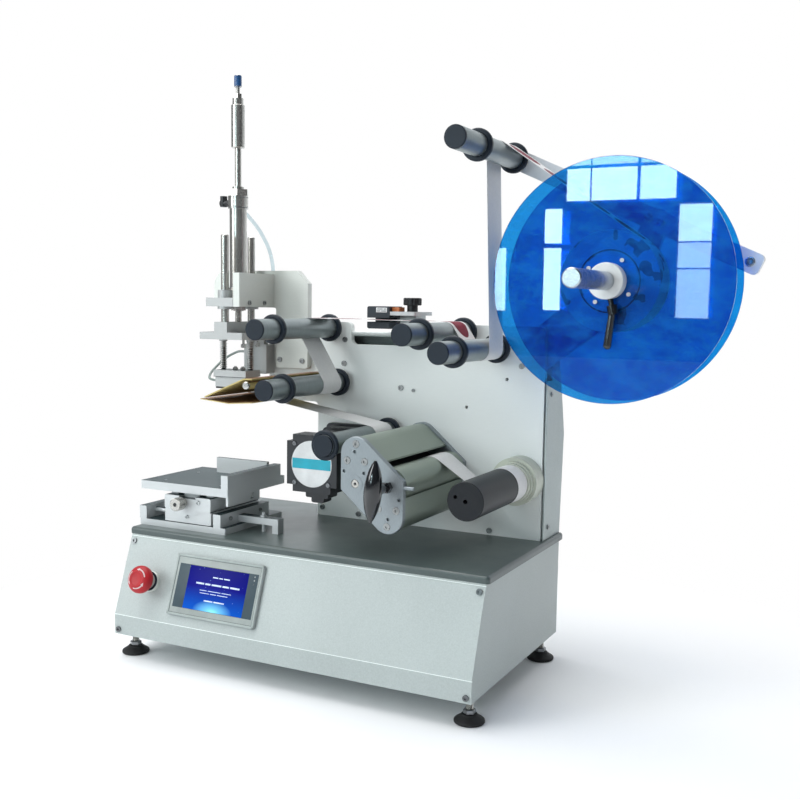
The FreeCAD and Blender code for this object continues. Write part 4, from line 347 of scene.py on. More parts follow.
def displayMaterial(name, low, high, glow, centre, right, up, strength):
    # a lit screen: night blue above, lighter below, a pale glow at the bottom and a few specks
    material, tree, shader = startMaterial(name)
    coords = objectCoords(tree)

    def along(direction, length):
        node = addNode(tree, "ShaderNodeVectorMath", operation="DOT_PRODUCT")
        tree.links.new(coords, node.inputs[0])
        node.inputs[1].default_value = direction / length
        return mathNode(tree, "SUBTRACT", node.outputs["Value"], centre.dot(direction) / length)
    across = along(right, 0.051)
    rise = along(up, 0.030)
    base = ramp(tree, mathNode(tree, "MULTIPLY_ADD", rise, 0.5, 0.5),
                [(0.0, low), (0.55, shade(high, 1.3)), (1.0, high)])
    fall = mathNode(tree, "MULTIPLY_ADD", rise, 1.9, 1.9)
    reach = mathNode(tree, "SQRT", mathNode(tree, "ADD", mathNode(tree, "MULTIPLY", fall, fall),
                                            mathNode(tree, "MULTIPLY", mathNode(tree, "MULTIPLY", across, 1.5),
                                                     mathNode(tree, "MULTIPLY", across, 1.5))))
    light = ramp(tree, reach, [(0.0, (1, 1, 1)), (0.35, (0.55, 0.55, 0.55)), (1.0, (0, 0, 0))])
    mix = addNode(tree, "ShaderNodeMix", data_type="RGBA")
    tree.links.new(light, mix.inputs["Factor"])
    tree.links.new(base, mix.inputs["A"])
    mix.inputs["B"].default_value = (*glow, 1.0)
    specks = addNode(tree, "ShaderNodeTexVoronoi")
    specks.inputs["Scale"].default_value = 130.0
    tree.links.new(coords, specks.inputs["Vector"])
    dots = ramp(tree, specks.outputs["Distance"], [(0.0, (1, 1, 1)), (0.11, (0, 0, 0))])
    lit = addNode(tree, "ShaderNodeMix", data_type="RGBA")
    tree.links.new(mathNode(tree, "MULTIPLY", dots, 0.45), lit.inputs["Factor"])
    tree.links.new(mix.outputs["Result"], lit.inputs["A"])
    lit.inputs["B"].default_value = (0.35, 0.6, 0.95, 1.0)
    tree.links.new(lit.outputs["Result"], shader.inputs["Base Color"])
    tree.links.new(lit.outputs["Result"], shader.inputs["Emission Color"])
    shader.inputs["Emission Strength"].default_value = strength
    shader.inputs["Roughness"].default_value = 0.35
    shader.inputs["Specular IOR Level"].default_value = 0.08
    return material


def woundMaterial(name, paper, ink, centre):
    # the side of a wound roll: fine turns around its axis
    material, tree, shader = startMaterial(name)
    coords = objectCoords(tree)
    parts = addNode(tree, "ShaderNodeSeparateXYZ")
    tree.links.new(coords, parts.inputs["Vector"])
    dx = mathNode(tree, "SUBTRACT", parts.outputs["X"], centre.x)
    dz = mathNode(tree, "SUBTRACT", parts.outputs["Z"], centre.z)
    reach = mathNode(tree, "SQRT", mathNode(tree, "ADD", mathNode(tree, "MULTIPLY", dx, dx),
                                            mathNode(tree, "MULTIPLY", dz, dz)))
    joined = addNode(tree, "ShaderNodeCombineXYZ")
    tree.links.new(reach, joined.inputs["X"])
    turns = noise(tree, joined.outputs["Vector"], 900.0, 3.0, 0.7)
    patches = noise(tree, coords, 38.0, 2.0)
    mask = mathNode(tree, "GREATER_THAN", patches, 0.6)
    base = ramp(tree, turns, [(0.3, shade(paper, 0.62)), (0.65, paper)])
    mix = addNode(tree, "ShaderNodeMix", data_type="RGBA")
    tree.links.new(mathNode(tree, "MULTIPLY", mask, 0.7), mix.inputs["Factor"])
    tree.links.new(base, mix.inputs["A"])
    mix.inputs["B"].default_value = (*ink, 1.0)
    tree.links.new(mix.outputs["Result"], shader.inputs["Base Color"])
    shader.inputs["Roughness"].default_value = 0.6
    bump(tree, shader, turns, 0.00008, 0.6)
    return material


def glowMaterial(name, stops, turn, scale, strength=1.0):
    # lit marks on the display
    material, tree, shader = startMaterial(name)
    coords = objectCoords(tree, scale, turn)
    clouds = noise(tree, coords, 3.0, 5.0)
    color = ramp(tree, clouds, stops)
    tree.links.new(color, shader.inputs["Base Color"])
    tree.links.new(color, shader.inputs["Emission Color"])
    shader.inputs["Emission Strength"].default_value = strength
    shader.inputs["Roughness"].default_value = 0.12
    return material


palette = {
    "cabinet": (0.405, 0.45, 0.44),
    "deck": (0.062, 0.085, 0.083),
    "plate": (0.78, 0.81, 0.79),
    "cover": (0.40, 0.455, 0.445),
    "bright": (0.60, 0.62, 0.625),
    "steel": (0.50, 0.49, 0.46),
    "slate": (0.009, 0.016, 0.026),
    "black": (0.007, 0.008, 0.010),
    "blue": (0.012, 0.275, 0.70),
    "ink": (0.17, 0.008, 0.026),
    "paper": (0.70, 0.70, 0.695),
    "cream": (0.52, 0.55, 0.47),
    "film": (0.52, 0.42, 0.17),
    "red": (0.40, 0.012, 0.018),
}

looks = {
    "cabinet": coatedMetal("cabinet_coat", palette["cabinet"]),
    "deck": coatedMetal("deck_coat", palette["deck"], 0.36, 600.0, 0.00004, 0.2),
    "plate": metal("plate_satin", palette["plate"], 0.5, (4, 4, 60), metallic=0.1, wear=0.02),
    "cover": coatedMetal("cover_coat", palette["cover"], 0.45),
    "bright": metal("machined_bright", palette["bright"], 0.36, (2, 60, 60), wear=0.06, metallic=0.4),
    # the near-black tops of the table and the blocks are a painted reflection of the dim room above, not their colour
    "table": darkTopMetal("table_painted_dark_top", (0.022, 0.045, 0.05), (0.60, 0.625, 0.63)),
    "headBlock": darkTopMetal("block_painted_dark_top", (0.17, 0.19, 0.19), (0.47, 0.485, 0.48)),
    "satin": metal("satin_plate", (0.64, 0.665, 0.625), 0.42, (8, 8, 30), metallic=0.3, wear=0.03),
    "arm": metal("arm_plate", (0.72, 0.74, 0.74), 0.4, (8, 8, 8), metallic=0.15, wear=0.04),
    "kite": metal("brushed_plate", (0.29, 0.325, 0.345), 0.38, (70, 1, 12), (0, 0.75, 0), 0.00003,
                  0.6, 0.12),
    "guard": metal("guard_anodised", (0.28, 0.325, 0.275), 0.34, (20, 2, 20), wear=0.03, metallic=0.6),
    "steel": metal("ground_steel", palette["steel"], 0.24, (20, 20, 3), wear=0.08, metallic=0.85),
    "darkSteel": metal("dark_steel", (0.24, 0.25, 0.26), 0.3, (30, 30, 30), wear=0.15),
    "spring": metal("spring_steel", (0.58, 0.58, 0.56), 0.26, (30, 30, 30), wear=0.1),
    "slate": plastic("slate_plastic", palette["slate"], 0.42, specular=0.3),
    "black": plastic("black_plastic", palette["black"], 0.38),
    "gloss": plastic("gloss_plastic", palette["black"], 0.12, 200.0, 0.00001, 0.8),
    "motor": coatedMetal("motor_paint", (0.012, 0.014, 0.018), 0.42, 500.0, 0.00005, 0.2),
    "rubber": plastic("black_rubber", (0.012, 0.012, 0.013), 0.7, 400.0, 0.00008),
    "nylon": plastic("white_nylon", (0.70, 0.72, 0.72), 0.4, 300.0, 0.00002),
    "cream": plastic("cream_nylon", palette["cream"], 0.45, 200.0, 0.00003),
    "red": plastic("red_plastic", palette["red"], 0.4, 300.0, 0.00003, 0.0, 0.35),
    "greyPlastic": plastic("grey_plastic", (0.30, 0.33, 0.33), 0.4),
    "darkPlastic": plastic("dark_plastic", (0.055, 0.075, 0.085), 0.3),
    "blueCap": plastic("blue_plastic", (0.012, 0.07, 0.20), 0.35, coat=0.3),
    "white": plastic("white_plastic", (0.70, 0.71, 0.71), 0.4),
    "disc": clearSheet("blue_acrylic", palette["blue"], 0.004, 0.02, 0.35),
    "tube": clearSheet("clear_tube", (0.62, 0.74, 0.78), 0.12, 0.05),
    "greenTube": plastic("green_tube", (0.20, 0.245, 0.225), 0.3, coat=0.4),
    "film": darkTopMetal("amber_film", (0.20, 0.10, 0.05), palette["film"], 0.45, 0.0, 0.08, 0.3),
    "liner": paperMaterial("liner_paper", palette["paper"]),
    "label": labelMaterial("printed_label", palette["paper"], palette["ink"]),
}

print("stage: materials")


def makeObject(name, mesh, material, body, sharp=0.6):
    mesh.polygons.foreach_set("use_smooth", [True] * len(mesh.polygons))
    mesh.set_sharp_from_angle(angle=sharp)
    piece = bpy.data.objects.new(name, mesh)
    bpy.context.scene.collection.objects.link(piece)
    for single in material if isinstance(material, (list, tuple)) else [material]:
        mesh.materials.append(single)
    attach(piece, body)
    return piece


def meshFrom(name, build):
    working = bmesh.new()
    build(working)
    bmesh.ops.remove_doubles(working, verts=working.verts, dist=1e-7)
    bmesh.ops.recalc_face_normals(working, faces=working.faces)
    mesh = bpy.data.meshes.new(name)
    working.to_mesh(mesh)
    working.free()
    return mesh


def lathe(name, profile, base, axis, material, body, steps=64, sharp=0.6):
    # spins (radius, height) pairs in millimetres about an axis through base
    axis = Vector(axis).normalized()
    helper = Vector((0, 0, 1)) if abs(axis.z) < 0.7 else Vector((1, 0, 0))
    across = axis.cross(helper).normalized()

    def build(working):
        made = [working.verts.new(base + across * (radius * 0.001) + axis * (height * 0.001))
                for radius, height in profile]
        edges = [working.edges.new(pair) for pair in zip(made[:-1], made[1:])]
        bmesh.ops.spin(working, geom=made + edges, cent=base, axis=axis, angle=math.tau, steps=steps,
                       use_merge=True)
    return makeObject(name, meshFrom(name, build), material, body, sharp)


def rounded(profile, radius, parts=3):
    # rounds the inner corners of a (radius, height) profile
    result = [profile[0]]
    for before, here, after in zip(profile[:-2], profile[1:-1], profile[2:]):
        a = Vector(before) - Vector(here)
        b = Vector(after) - Vector(here)
        trim = min(radius, a.length * 0.45, b.length * 0.45)
        if trim < 1e-3 or abs(a.normalized().dot(b.normalized())) > 0.999:
            result.append(here)
            continue
        start = Vector(here) + a.normalized() * trim
        end = Vector(here) + b.normalized() * trim
        for step in range(parts + 1):
            t = step / parts
            point = start * (1 - t) ** 2 + Vector(here) * 2 * t * (1 - t) + end * t ** 2
            result.append((point.x, point.y))
    result.append(profile[-1])
    return result


def softBox(name, low, high, material, body, round=0.5, turn=None, base=None):
    # a box with rounded edges, in millimetres, optionally in a turned frame at base
    def build(working):
        bmesh.ops.create_cube(working, size=1.0)
        size = Vector(high) - Vector(low)
        middle = (Vector(high) + Vector(low)) / 2
        for vert in working.verts:
            vert.co = Vector((vert.co.x * size.x, vert.co.y * size.y, vert.co.z * size.z)) + middle
        bmesh.ops.bevel(working, geom=working.edges[:], offset=round, affect="EDGES", segments=3,
                        profile=0.5, material=-1)
        for vert in working.verts:
            vert.co = (base + turn @ (vert.co * 0.001)) if base else spot(*vert.co)
    return makeObject(name, meshFrom(name, build), material, body, 0.5)


def paint(node, material):
    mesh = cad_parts[node].data
    mesh.materials.clear()
    mesh.materials.append(material)


nodeLooks = {
    "cabinet_body": "cabinet", "front_panel": "cabinet", "top_plate": "deck", "hmi_housing": "greyPlastic",
    "hmi_screen": "gloss", "estop_collar": "satin", "estop_stem": "black", "control_unit": "darkPlastic",
    "power_inlet": "black", "main_plate": "plate", "rear_cover": "cover", "stepper_motor": "motor",
    "roller_spindles": "steel", "reel_arm": "arm", "cross_arm": "arm", "drive_front_plate": "kite",
    "drive_rear_plate": "kite", "drive_guards": "guard", "peel_plate": "film", "press_bracket": "satin",
    "bushing_block": "headBlock", "air_cylinder": "steel", "air_fittings": "black",
    "air_hose_upper": "tube", "table_base": "table", "drive_belt": "rubber",
    "reel_hub": "satin", "rear_disc": "disc", "front_disc": "disc", "clamp_collar": "nylon",
    "clamp_lever": "gloss", "nip_roller": "guard", "motor_pulley": "bright", "nip_knob": "gloss",
    "press_carriage": "headBlock", "press_tool": "headBlock", "press_pad": "rubber",
    "air_hose_lower": "greenTube", "table_cross_slide": "table", "table_top": "table",
    "thumb_knob": "black", "press_springs": "spring",
    "table_knob": "steel", "label_web": "liner", "press_rods": "steel", "drive_roller": "rubber",
    "estop_mushroom": "red", "leveling_feet": "rubber",
}
for node, look in nodeLooks.items():
    paint(node, looks[look])
for index in range(1, 7):
    paint("guide_roller_%d" % index, looks["satin"])
paint("reel_shaft", turned("shaft_turned", (0.46, 0.50, 0.55), reelCentre, 0.25, 2600.0, 0.00003, 0.9))
paint("rewind_core", turned("core_black", (0.016, 0.018, 0.021), rewindCentre, 0.4,
                            1200.0, 0.00003, 0.0))
paint("rewind_hub", looks["cream"])
screwLook = {"split": -215.0, "cabinet": (0.16, 0.17, 0.175), "plates": (0.34, 0.35, 0.35)}
paint("socket_screws", splitMetal("screw_steel", "Y", spot(0, screwLook["split"], 0).y, screwLook["cabinet"],
                                  screwLook["plates"]))
sensorLook = {"split": 55.05, "rise": 515.2, "plate": (0.50, 0.53, 0.53), "shoe": (0.42, 0.12, 0.03)}
paint("sensor_carriage", sensorMaterial("sensor_finish", spot(sensorLook["split"], 0, 0).x,
                                        spot(0, 0, sensorLook["rise"]).z, palette["slate"],
                                        sensorLook["plate"], sensorLook["shoe"]))
paint("label_roll", woundMaterial("roll_side", (0.72, 0.72, 0.74), palette["ink"], reelCentre))
print("stage: frame nodes painted")


rollers = [
    (1, -68.8, 488.0, -216.5, -173.0, -16.0),
    (2, -53.8, 403.9, -216.5, -171.6, -15.5),
    (3, 158.1, 486.9, -215.8, -166.0, -16.6),
    (4, 210.0, 465.0, -215.4, -171.0, -16.8),
    (5, 36.4, 332.8, -206.0, -204.0, -16.3),
    (6, 230.5, 731.2, -220.8, -152.2, -20.0),
]
rollerLook = {"tube": 15.0, "bore": 12.6, "collar": 21.2, "collarWidth": 8.0, "cap": 3.5, "edge": 0.7,
              "finish": (0.245, 0.28, 0.285)}
for index, x, z, capY, frontY, rearY in rollers:
    body = "roller_%d" % index
    node = "guide_roller_%d" % index
    low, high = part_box(node)
    tubeBack = (high.y - machineOrigin.y) * 1000
    tubeFront = capY + rollerLook["cap"]
    aluminium = turned("tube_%d" % index, rollerLook["finish"], spot(x, 0, z), 0.38, 900.0, 0.00001, 0.7)
    tube = lathe("rollerTube%d" % index,
                 rounded([(rollerLook["bore"], tubeBack), (15.0, tubeBack), (15.0, tubeFront),
                          (rollerLook["bore"], tubeFront), (rollerLook["bore"], tubeBack)],
                         rollerLook["edge"]),
                 spot(x, 0, z), (0, 1, 0), aluminium, body)
    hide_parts(node)
    lathe("rollerCap%d" % index,
          rounded([(0, capY + 0.3), (12.2, capY), (14.9, capY), (14.9, tubeFront), (12.4, tubeFront),
                   (12.4, tubeFront + 3), (0, tubeFront + 3)], 0.8),
          spot(x, 0, z), (0, 1, 0), looks["slate"], body)
    lathe("rollerBush%d" % index,
          [(6.2, tubeBack - 0.4), (12.5, tubeBack - 0.4), (12.5, tubeBack - 9), (6.2, tubeBack - 9),
           (6.2, tubeBack - 0.4)], spot(x, 0, z), (0, 1, 0), looks["steel"], body)
    for part, front in (("Front", max(frontY, tubeFront)), ("Rear", tubeBack - rollerLook["collarWidth"])):
        back = tubeBack if part == "Rear" else frontY + rollerLook["collarWidth"]
        lathe("rollerCollar%s%d" % (part, index),
              rounded([(15.05, back), (19.6, back), (rollerLook["collar"], back - 1.4),
                       (rollerLook["collar"], front + 1.4), (19.6, front), (15.05, front),
                       (15.05, back)], 0.9),
              spot(x, 0, z), (0, 1, 0), looks["slate"], body)
        lathe("collarScrew%s%d" % (part, index),
              [(0, 0.25), (1.2, 0.25), (1.2, -0.4), (1.9, -0.4), (1.9, 0.35), (2.3, 0.0), (2.3, -1.0), (0, -1.0)],
              spot(x, (front + back) / 2, z) + Vector((0.0212 * math.cos(0.7 + index), 0,
                                                       0.0212 * math.sin(0.7 + index))) * 0.985,
              (math.cos(0.7 + index), 0, math.sin(0.7 + index)), looks["darkSteel"], body, 20)
print("stage: guide rollers")

discLook = {"radius": 158.9, "bore": 13.0, "edge": 0.5, "gap": 0.12}
for name, node, low, high, body in (("frontSheet", "front_disc", -83.5, -80.5, "reel_clamp"),
                                    ("rearSheet", "rear_disc", -26.5, -23.5, "reel")):
    gap, bore, edge = discLook["gap"], discLook["bore"], discLook["radius"]
    sheet = lathe(name, rounded([(bore, low + gap), (edge, low + gap), (edge, high - gap), (bore, high - gap),
                                 (bore, low + gap)], discLook["edge"]),
                  reelCentre, (0, 1, 0), looks["disc"], body, 180, 0.15)
    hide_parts(node)
coreLook = {"inner": 39.3, "outer": 41.0, "front": -80.2, "back": -79.4}
coreInner, coreOuter, coreFront, coreBack = (coreLook[key] for key in ("inner", "outer", "front", "back"))
lathe("coreEdge", [(coreInner, coreFront), (coreOuter, coreFront), (coreOuter, coreBack), (coreInner, coreBack),
                   (coreInner, coreFront)], reelCentre, (0, 1, 0), looks["slate"], "reel", 96)
print("stage: discs")


webStops = [(390.0, 559.4, 66.0, 1), (230.5, 731.2, 15.0, 1), (210.0, 465.0, 15.0, -1),
            (158.1, 486.9, 15.0, 1), (-68.8, 488.0, 15.0, 1), (-53.8, 403.9, 15.0, -1),
            (-173.9, 385.4, 0.9, 1), (36.4, 332.8, 15.0, -1), (89.4, 286.0, 24.0, 1),
            (138.4, 286.0, 24.0, -1), (247.6, 276.4, 25.6, 1)]
webLook = {"front": -79.5, "back": -27.5, "middle": 0.5, "half": 0.16, "tipStop": 6, "bend": 0.12}


def webPath():
    # points, left normals and the stop they belong to, along the web from the roll to the rewind
    headings = []
    for (x1, z1, r1, s1), (x2, z2, r2, s2) in zip(webStops[:-1], webStops[1:]):
        lift = s2 * (r2 + webLook["middle"]) - s1 * (r1 + webLook["middle"])
        gap = math.hypot(x2 - x1, z2 - z1)
        headings.append(math.atan2(z2 - z1, x2 - x1) - math.asin(lift / gap))
    points = []
    for index, (x, z, radius, side) in enumerate(webStops):
        reach = side * (radius + webLook["middle"])
        first = headings[max(index - 1, 0)]
        last = headings[min(index, len(headings) - 1)]
        if index == len(webStops) - 1:
            turn = math.radians(300)
        elif index == 0:
            turn = 0.0
        else:
            turn = (last - first) % math.tau
            if side < 0:
                turn -= math.tau
        count = max(1, int(abs(turn) / webLook["bend"]) + 1)
        start = first if index else last
        for step in range(count + 1 if turn else 1):
            heading = start + turn * step / count
            normal = Vector((-math.sin(heading), 0, math.cos(heading)))
            points.append((Vector((x, 0, z)) - normal * reach, normal, index))
    return points


def buildWeb(working):
    uv = working.loops.layers.uv.new("UVMap")
    points = webPath()
    rows = []
    distance = 0.0
    last = None
    hub = Vector((247.6, 0, 276.4))
    for point, normal, stop in points:
        if last is not None:
            distance += (point - last).length * 0.001
        last = point
        back = -44.6 if (point - hub).length < 35 else webLook["back"]
        row = []
        for side in (1, -1):
            for y in (webLook["front"], back):
                place = point + normal * webLook["half"] * side
                row.append(working.verts.new(spot(place.x, y, place.z)))
        rows.append((row, distance, stop, back))
    for (a, da, sa, ba), (b, db, sb, bb) in zip(rows[:-1], rows[1:]):
        printed = sb < webLook["tipStop"] or (sb == webLook["tipStop"] and sa < sb)
        vb = (bb - webLook["front"]) * 0.001
        va = (ba - webLook["front"]) * 0.001
        upper = working.faces.new((a[0], b[0], b[1], a[1]))
        lower = working.faces.new((a[2], a[3], b[3], b[2]))
        front = working.faces.new((a[0], a[2], b[2], b[0]))
        back = working.faces.new((a[1], b[1], b[3], a[3]))
        for face, places in ((upper, ((da, 0), (db, 0), (db, vb), (da, va))),
                             (lower, ((da, 0), (da, va), (db, vb), (db, 0)))):
            for loop, place in zip(face.loops, places):
                loop[uv].uv = place
        lower.material_index = 1 if printed else 0
        for face in (upper, front, back):
            face.material_index = 0
    first = rows[0][0]
    final = rows[-1][0]
    working.faces.new((first[0], first[1], first[3], first[2]))
    working.faces.new((final[0], final[2], final[3], final[1]))


webMesh = bpy.data.meshes.new("labelWeb")
webWork = bmesh.new()
buildWeb(webWork)
webWork.to_mesh(webMesh)
webWork.free()
labelWeb = makeObject("labelWeb", webMesh, [looks["liner"], looks["label"]], "frame", 0.5)
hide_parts("label_web")
print("stage: label web")


slopeAngle = math.atan2(176.0 - 64.6, -222.0 + 261.9)
slopeTurn = Matrix.Rotation(slopeAngle, 3, "X")
slopeNormal = slopeTurn @ Vector((0, 0, 1))


def slopePoint(x, z):
    y = -261.9 + (z - 64.6) * (-222.0 + 261.9) / (176.0 - 64.6)
    return spot(x, y, z)


stopLook = {"base": 12.5, "height": 24.5, "radius": 20.0}
stopBase = slopePoint(-231.0, 116.3)
stopProfile = [(4.1, 12.5), (10.0, 12.5), (11.5, 18.0), (17.5, 20.6), (19.6, 22.2), (20.0, 24.5),
               (20.0, 28.0), (19.0, 31.0), (16.6, 33.6), (13.0, 35.4), (10.5, 35.9), (9.6, 35.2),
               (4.0, 34.8), (0, 34.7)]
stopHead = lathe("stopHead", rounded(stopProfile, 1.2), stopBase, slopeNormal, looks["red"], "stop_button",
                 72, 0.9)
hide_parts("estop_mushroom")


def crownHeight(radius):
    # height of the head's crown at this radius
    for (outer, low), (inner, high) in zip(stopProfile[7:11], stopProfile[8:12]):
        if radius >= inner:
            return low + (high - low) * (outer - radius) / (outer - inner)
    return stopProfile[10][1]


def arrowBuild(working):
    # three curved arrows around the head's crown
    for which in range(3):
        start = which * math.tau / 3 + 0.3
        inner, outer = 13.2, 14.7
        strip = []
        for step in range(13):
            angle = start + 1.15 * step / 12
            for radius in (inner, outer):
                lift = crownHeight(radius) + 0.1
                local = Vector((radius * math.cos(angle), radius * math.sin(angle), lift))
                strip.append(working.verts.new(stopBase + slopeTurn @ (local * 0.001)))
        for step in range(12):
            working.faces.new((strip[2 * step], strip[2 * step + 1], strip[2 * step + 3], strip[2 * step + 2]))
        head = []
        for radius, angle in ((12.1, start + 1.15), (15.9, start + 1.15), (13.9, start + 1.5)):
            lift = crownHeight(radius) + 0.1
            local = Vector((radius * math.cos(angle), radius * math.sin(angle), lift))
            head.append(working.verts.new(stopBase + slopeTurn @ (local * 0.001)))
        working.faces.new(head)
    solid = bmesh.ops.extrude_face_region(working, geom=working.faces[:])
    raised = [item for item in solid["geom"] if isinstance(item, bmesh.types.BMVert)]
    for vert in raised:
        vert.co += slopeNormal * 0.00025


lathe("stopRing", rounded([(11.0, 6.1), (14.2, 6.1), (14.2, 7.6), (11.0, 7.6), (11.0, 6.1)], 0.3),
      stopBase, slopeNormal, looks["slate"], "frame", 48)
makeObject("stopArrows", meshFrom("stopArrows", arrowBuild), plastic("arrow_print", (0.62, 0.50, 0.50), 0.5),
           "stop_button")

panelBase = slopePoint(-115.0, 119.0)


def panelBox(name, low, high, material, round=0.4):
    return softBox(name, low, high, material, "frame", round, slopeTurn, panelBase)


panelLook = {"rimX": 74.8, "rimY": 43.4, "rimWide": 3.0, "rimTop": 5.7, "border": 5.05,
             "glassLow": (-67.5, -32.0), "glassHigh": (69.0, 30.5), "imageLow": (-49.0, -31.6),
             "imageHigh": (53.0, 29.8), "lit": 0.25}
rimFinish = plastic("panel_rim", (0.34, 0.385, 0.37), 0.42, specular=0.3)
borderFinish = plastic("panel_border", (0.30, 0.335, 0.32), 0.42)
groove = plastic("panel_groove", (0.10, 0.12, 0.12), 0.5)
rimX, rimY, rimWide, rimTop = (panelLook[key] for key in ("rimX", "rimY", "rimWide", "rimTop"))
for name, low, high in (
        ("Top", (-rimX, rimY - rimWide), (rimX, rimY)), ("Bottom", (-rimX, -rimY), (rimX, rimWide - rimY)),
        ("Left", (-rimX, -rimY), (rimWide - rimX, rimY)), ("Right", (rimX - rimWide, -rimY), (rimX, rimY))):
    panelBox("panelRim" + name, (*low, 4.3), (*high, rimTop), rimFinish, 0.5)
inner = rimX - rimWide + 0.3
innerY = rimY - rimWide + 0.3
for name, low, high in (
        ("Top", (-inner, innerY - 0.9), (inner, innerY)), ("Bottom", (-inner, -innerY), (inner, 0.9 - innerY)),
        ("Left", (-inner, -innerY), (0.9 - inner, innerY)), ("Right", (inner - 0.9, -innerY), (inner, innerY))):
    panelBox("panelGroove" + name, (*low, 4.7), (*high, 5.12), groove, 0.05)
panelBox("panelBorder", (1 - inner, 1 - innerY, 4.7), (inner - 1, innerY - 1, panelLook["border"]), borderFinish, 0.05)
panelBox("panelMask", (*panelLook["glassLow"], 4.9), (*panelLook["glassHigh"], 5.2),
         plastic("panel_glass", (0.05, 0.075, 0.09), 0.3, specular=0.25), 0.05)
imageMiddle = [(a + b) / 2 for a, b in zip(panelLook["imageLow"], panelLook["imageHigh"])]
displayLook = displayMaterial("display_glow", (0.0, 0.07, 0.42), (0.0, 0.001, 0.13), (0.24, 0.75, 0.95),
                              panelBase + slopeTurn @ Vector((imageMiddle[0] * 0.001, imageMiddle[1] * 0.001, 0.0052)),
                              Vector((1, 0, 0)), slopeTurn @ Vector((0, 1, 0)), panelLook["lit"])
panelBox("displayImage", (*panelLook["imageLow"], 5.15), (*panelLook["imageHigh"], 5.3), displayLook, 0.03)
lightLook = glowMaterial("display_light", [(0.2, (0.42, 0.52, 0.72)), (0.8, (0.55, 0.62, 0.8))],
                         (0, 0, 0), (5, 5, 5), 0.12)
# rows of plain dashes: height up the display, dash height, middle, dash lengths
dashRows = ((16.0, 1.6, 8.0, (9, 6, 10)), (5.0, 2.4, 4.0, (14, 9, 17, 11, 16)), (-3.6, 0.9, 2.0, (12, 22, 16)),
            (-7.4, 0.9, 0.0, (16, 10, 18)), (-18.0, 1.8, 3.0, (15, 18)))
for row, high, middle, lengths in dashRows:
    left = middle - (sum(lengths) + 2.0 * (len(lengths) - 1)) / 2
    for part, length in enumerate(lengths):
        panelBox("displayLine%d_%d" % (int(row * 10 + 400), part), (left, row, 5.28), (left + length, row + high, 5.36),
                 lightLook, 0.02)
        left += length + 2.0
for row in range(3):
    lathe("panelDot%d" % row, [(0, 5.55), (0.9, 5.5), (1.1, 5.2), (0, 5.2)],
          panelBase + slopeTurn @ Vector((0.0630, 0.0265 - row * 0.0052, 0)), slopeNormal,
          looks["greyPlastic" if row < 2 else "darkPlastic"], "frame", 20)
# pale strips along the two bends of the cabinet front: a painted highlight along the creases
creaseHighlightLook = {"reach": 287.0, "half": 0.55, "finish": (0.74, 0.80, 0.78)}
creaseHighlightFinish = coatedMetal("crease_painted_highlight", creaseHighlightLook["finish"])
for name, y, z in (("creaseHighlightLow", -261.75, 64.6), ("creaseHighlightHigh", -222.4, 175.4)):
    reach, half = creaseHighlightLook["reach"], creaseHighlightLook["half"]
    softBox(name, (-reach, y - half, z - half), (reach, y + half, z + half), creaseHighlightFinish, "frame", 0.4)
print("stage: operator panel")


motorX, motorZ, motorFace = -22.0, 294.0, -140.0
lathe("motorLabel", [(0, -0.35), (33.6, -0.35), (34.0, -0.05), (34.0, 0.1)],
      spot(motorX, motorFace, motorZ), (0, 1, 0), looks["white"], "frame", 96)


def bandBuild(working):
    # a straight band across the round label
    radius = 33.2
    low, high = -7.5, 7.5
    upper, lower = [], []
    for step in range(25):
        x = -radius + 2 * radius * step / 24
        for z, row in ((high, upper), (low, lower)):
            limit = math.sqrt(radius ** 2 - z ** 2)
            row.append(working.verts.new(spot(motorX + max(-limit, min(limit, x)), motorFace - 0.42, motorZ + z)))
    for step in range(24):
        working.faces.new((upper[step], upper[step + 1], lower[step + 1], lower[step]))
    solid = bmesh.ops.extrude_face_region(working, geom=working.faces[:])
    for item in solid["geom"]:
        if isinstance(item, bmesh.types.BMVert):
            item.co.y += 0.0001


makeObject("motorBand", meshFrom("motorBand", bandBuild), plastic("cyan_print", (0.01, 0.38, 0.50), 0.35),
           "frame")
for side in (-1, 1):
    for rise in (-1, 1):
        lathe("motorScrew%d%d" % (side + 1, rise + 1),
              [(0, -0.6), (1.4, -0.6), (1.6, -1.8), (3.0, -1.8), (3.3, -1.2), (3.3, 0.2), (0, 0.2)],
              spot(motorX + side * 28.5, motorFace, motorZ + rise * 28.5), (0, 1, 0), looks["darkSteel"],
              "frame", 24)
print("stage: motor")


def springBuild(centre, low, high, radius, wire, turns):
    def build(working):
        rings = []
        steps = int(turns * 20)
        for step in range(steps + 1):
            t = step / steps
            angle = t * turns * math.tau
            height = low + wire + (high - low - 2 * wire) * t
            point = Vector((centre[0] + radius * math.cos(angle), centre[1] + radius * math.sin(angle), height))
            outward = Vector((math.cos(angle), math.sin(angle), 0))
            ring = []
            for part in range(8):
                around = part * math.tau / 8
                place = point + outward * wire * math.cos(around) + Vector((0, 0, wire * math.sin(around)))
                ring.append(working.verts.new(spot(*place)))
            rings.append(ring)
        for a, b in zip(rings[:-1], rings[1:]):
            for part in range(8):
                working.faces.new((a[part], a[(part + 1) % 8], b[(part + 1) % 8], b[part]))
        working.faces.new(rings[0])
        working.faces.new(rings[-1][::-1])
    return build


springTop = 463.7
for index, x in enumerate((-233.5, -181.5)):
    spring = makeObject("padSpring%d" % index,
                        meshFrom("padSpring%d" % index,
                                 springBuild((x, -64.0), 419.5, springTop, 5.0, 0.85, 15)),
                        looks["spring"], "press_head", 1.2)
    if index == 0:
        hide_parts("press_springs")
    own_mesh(spring)

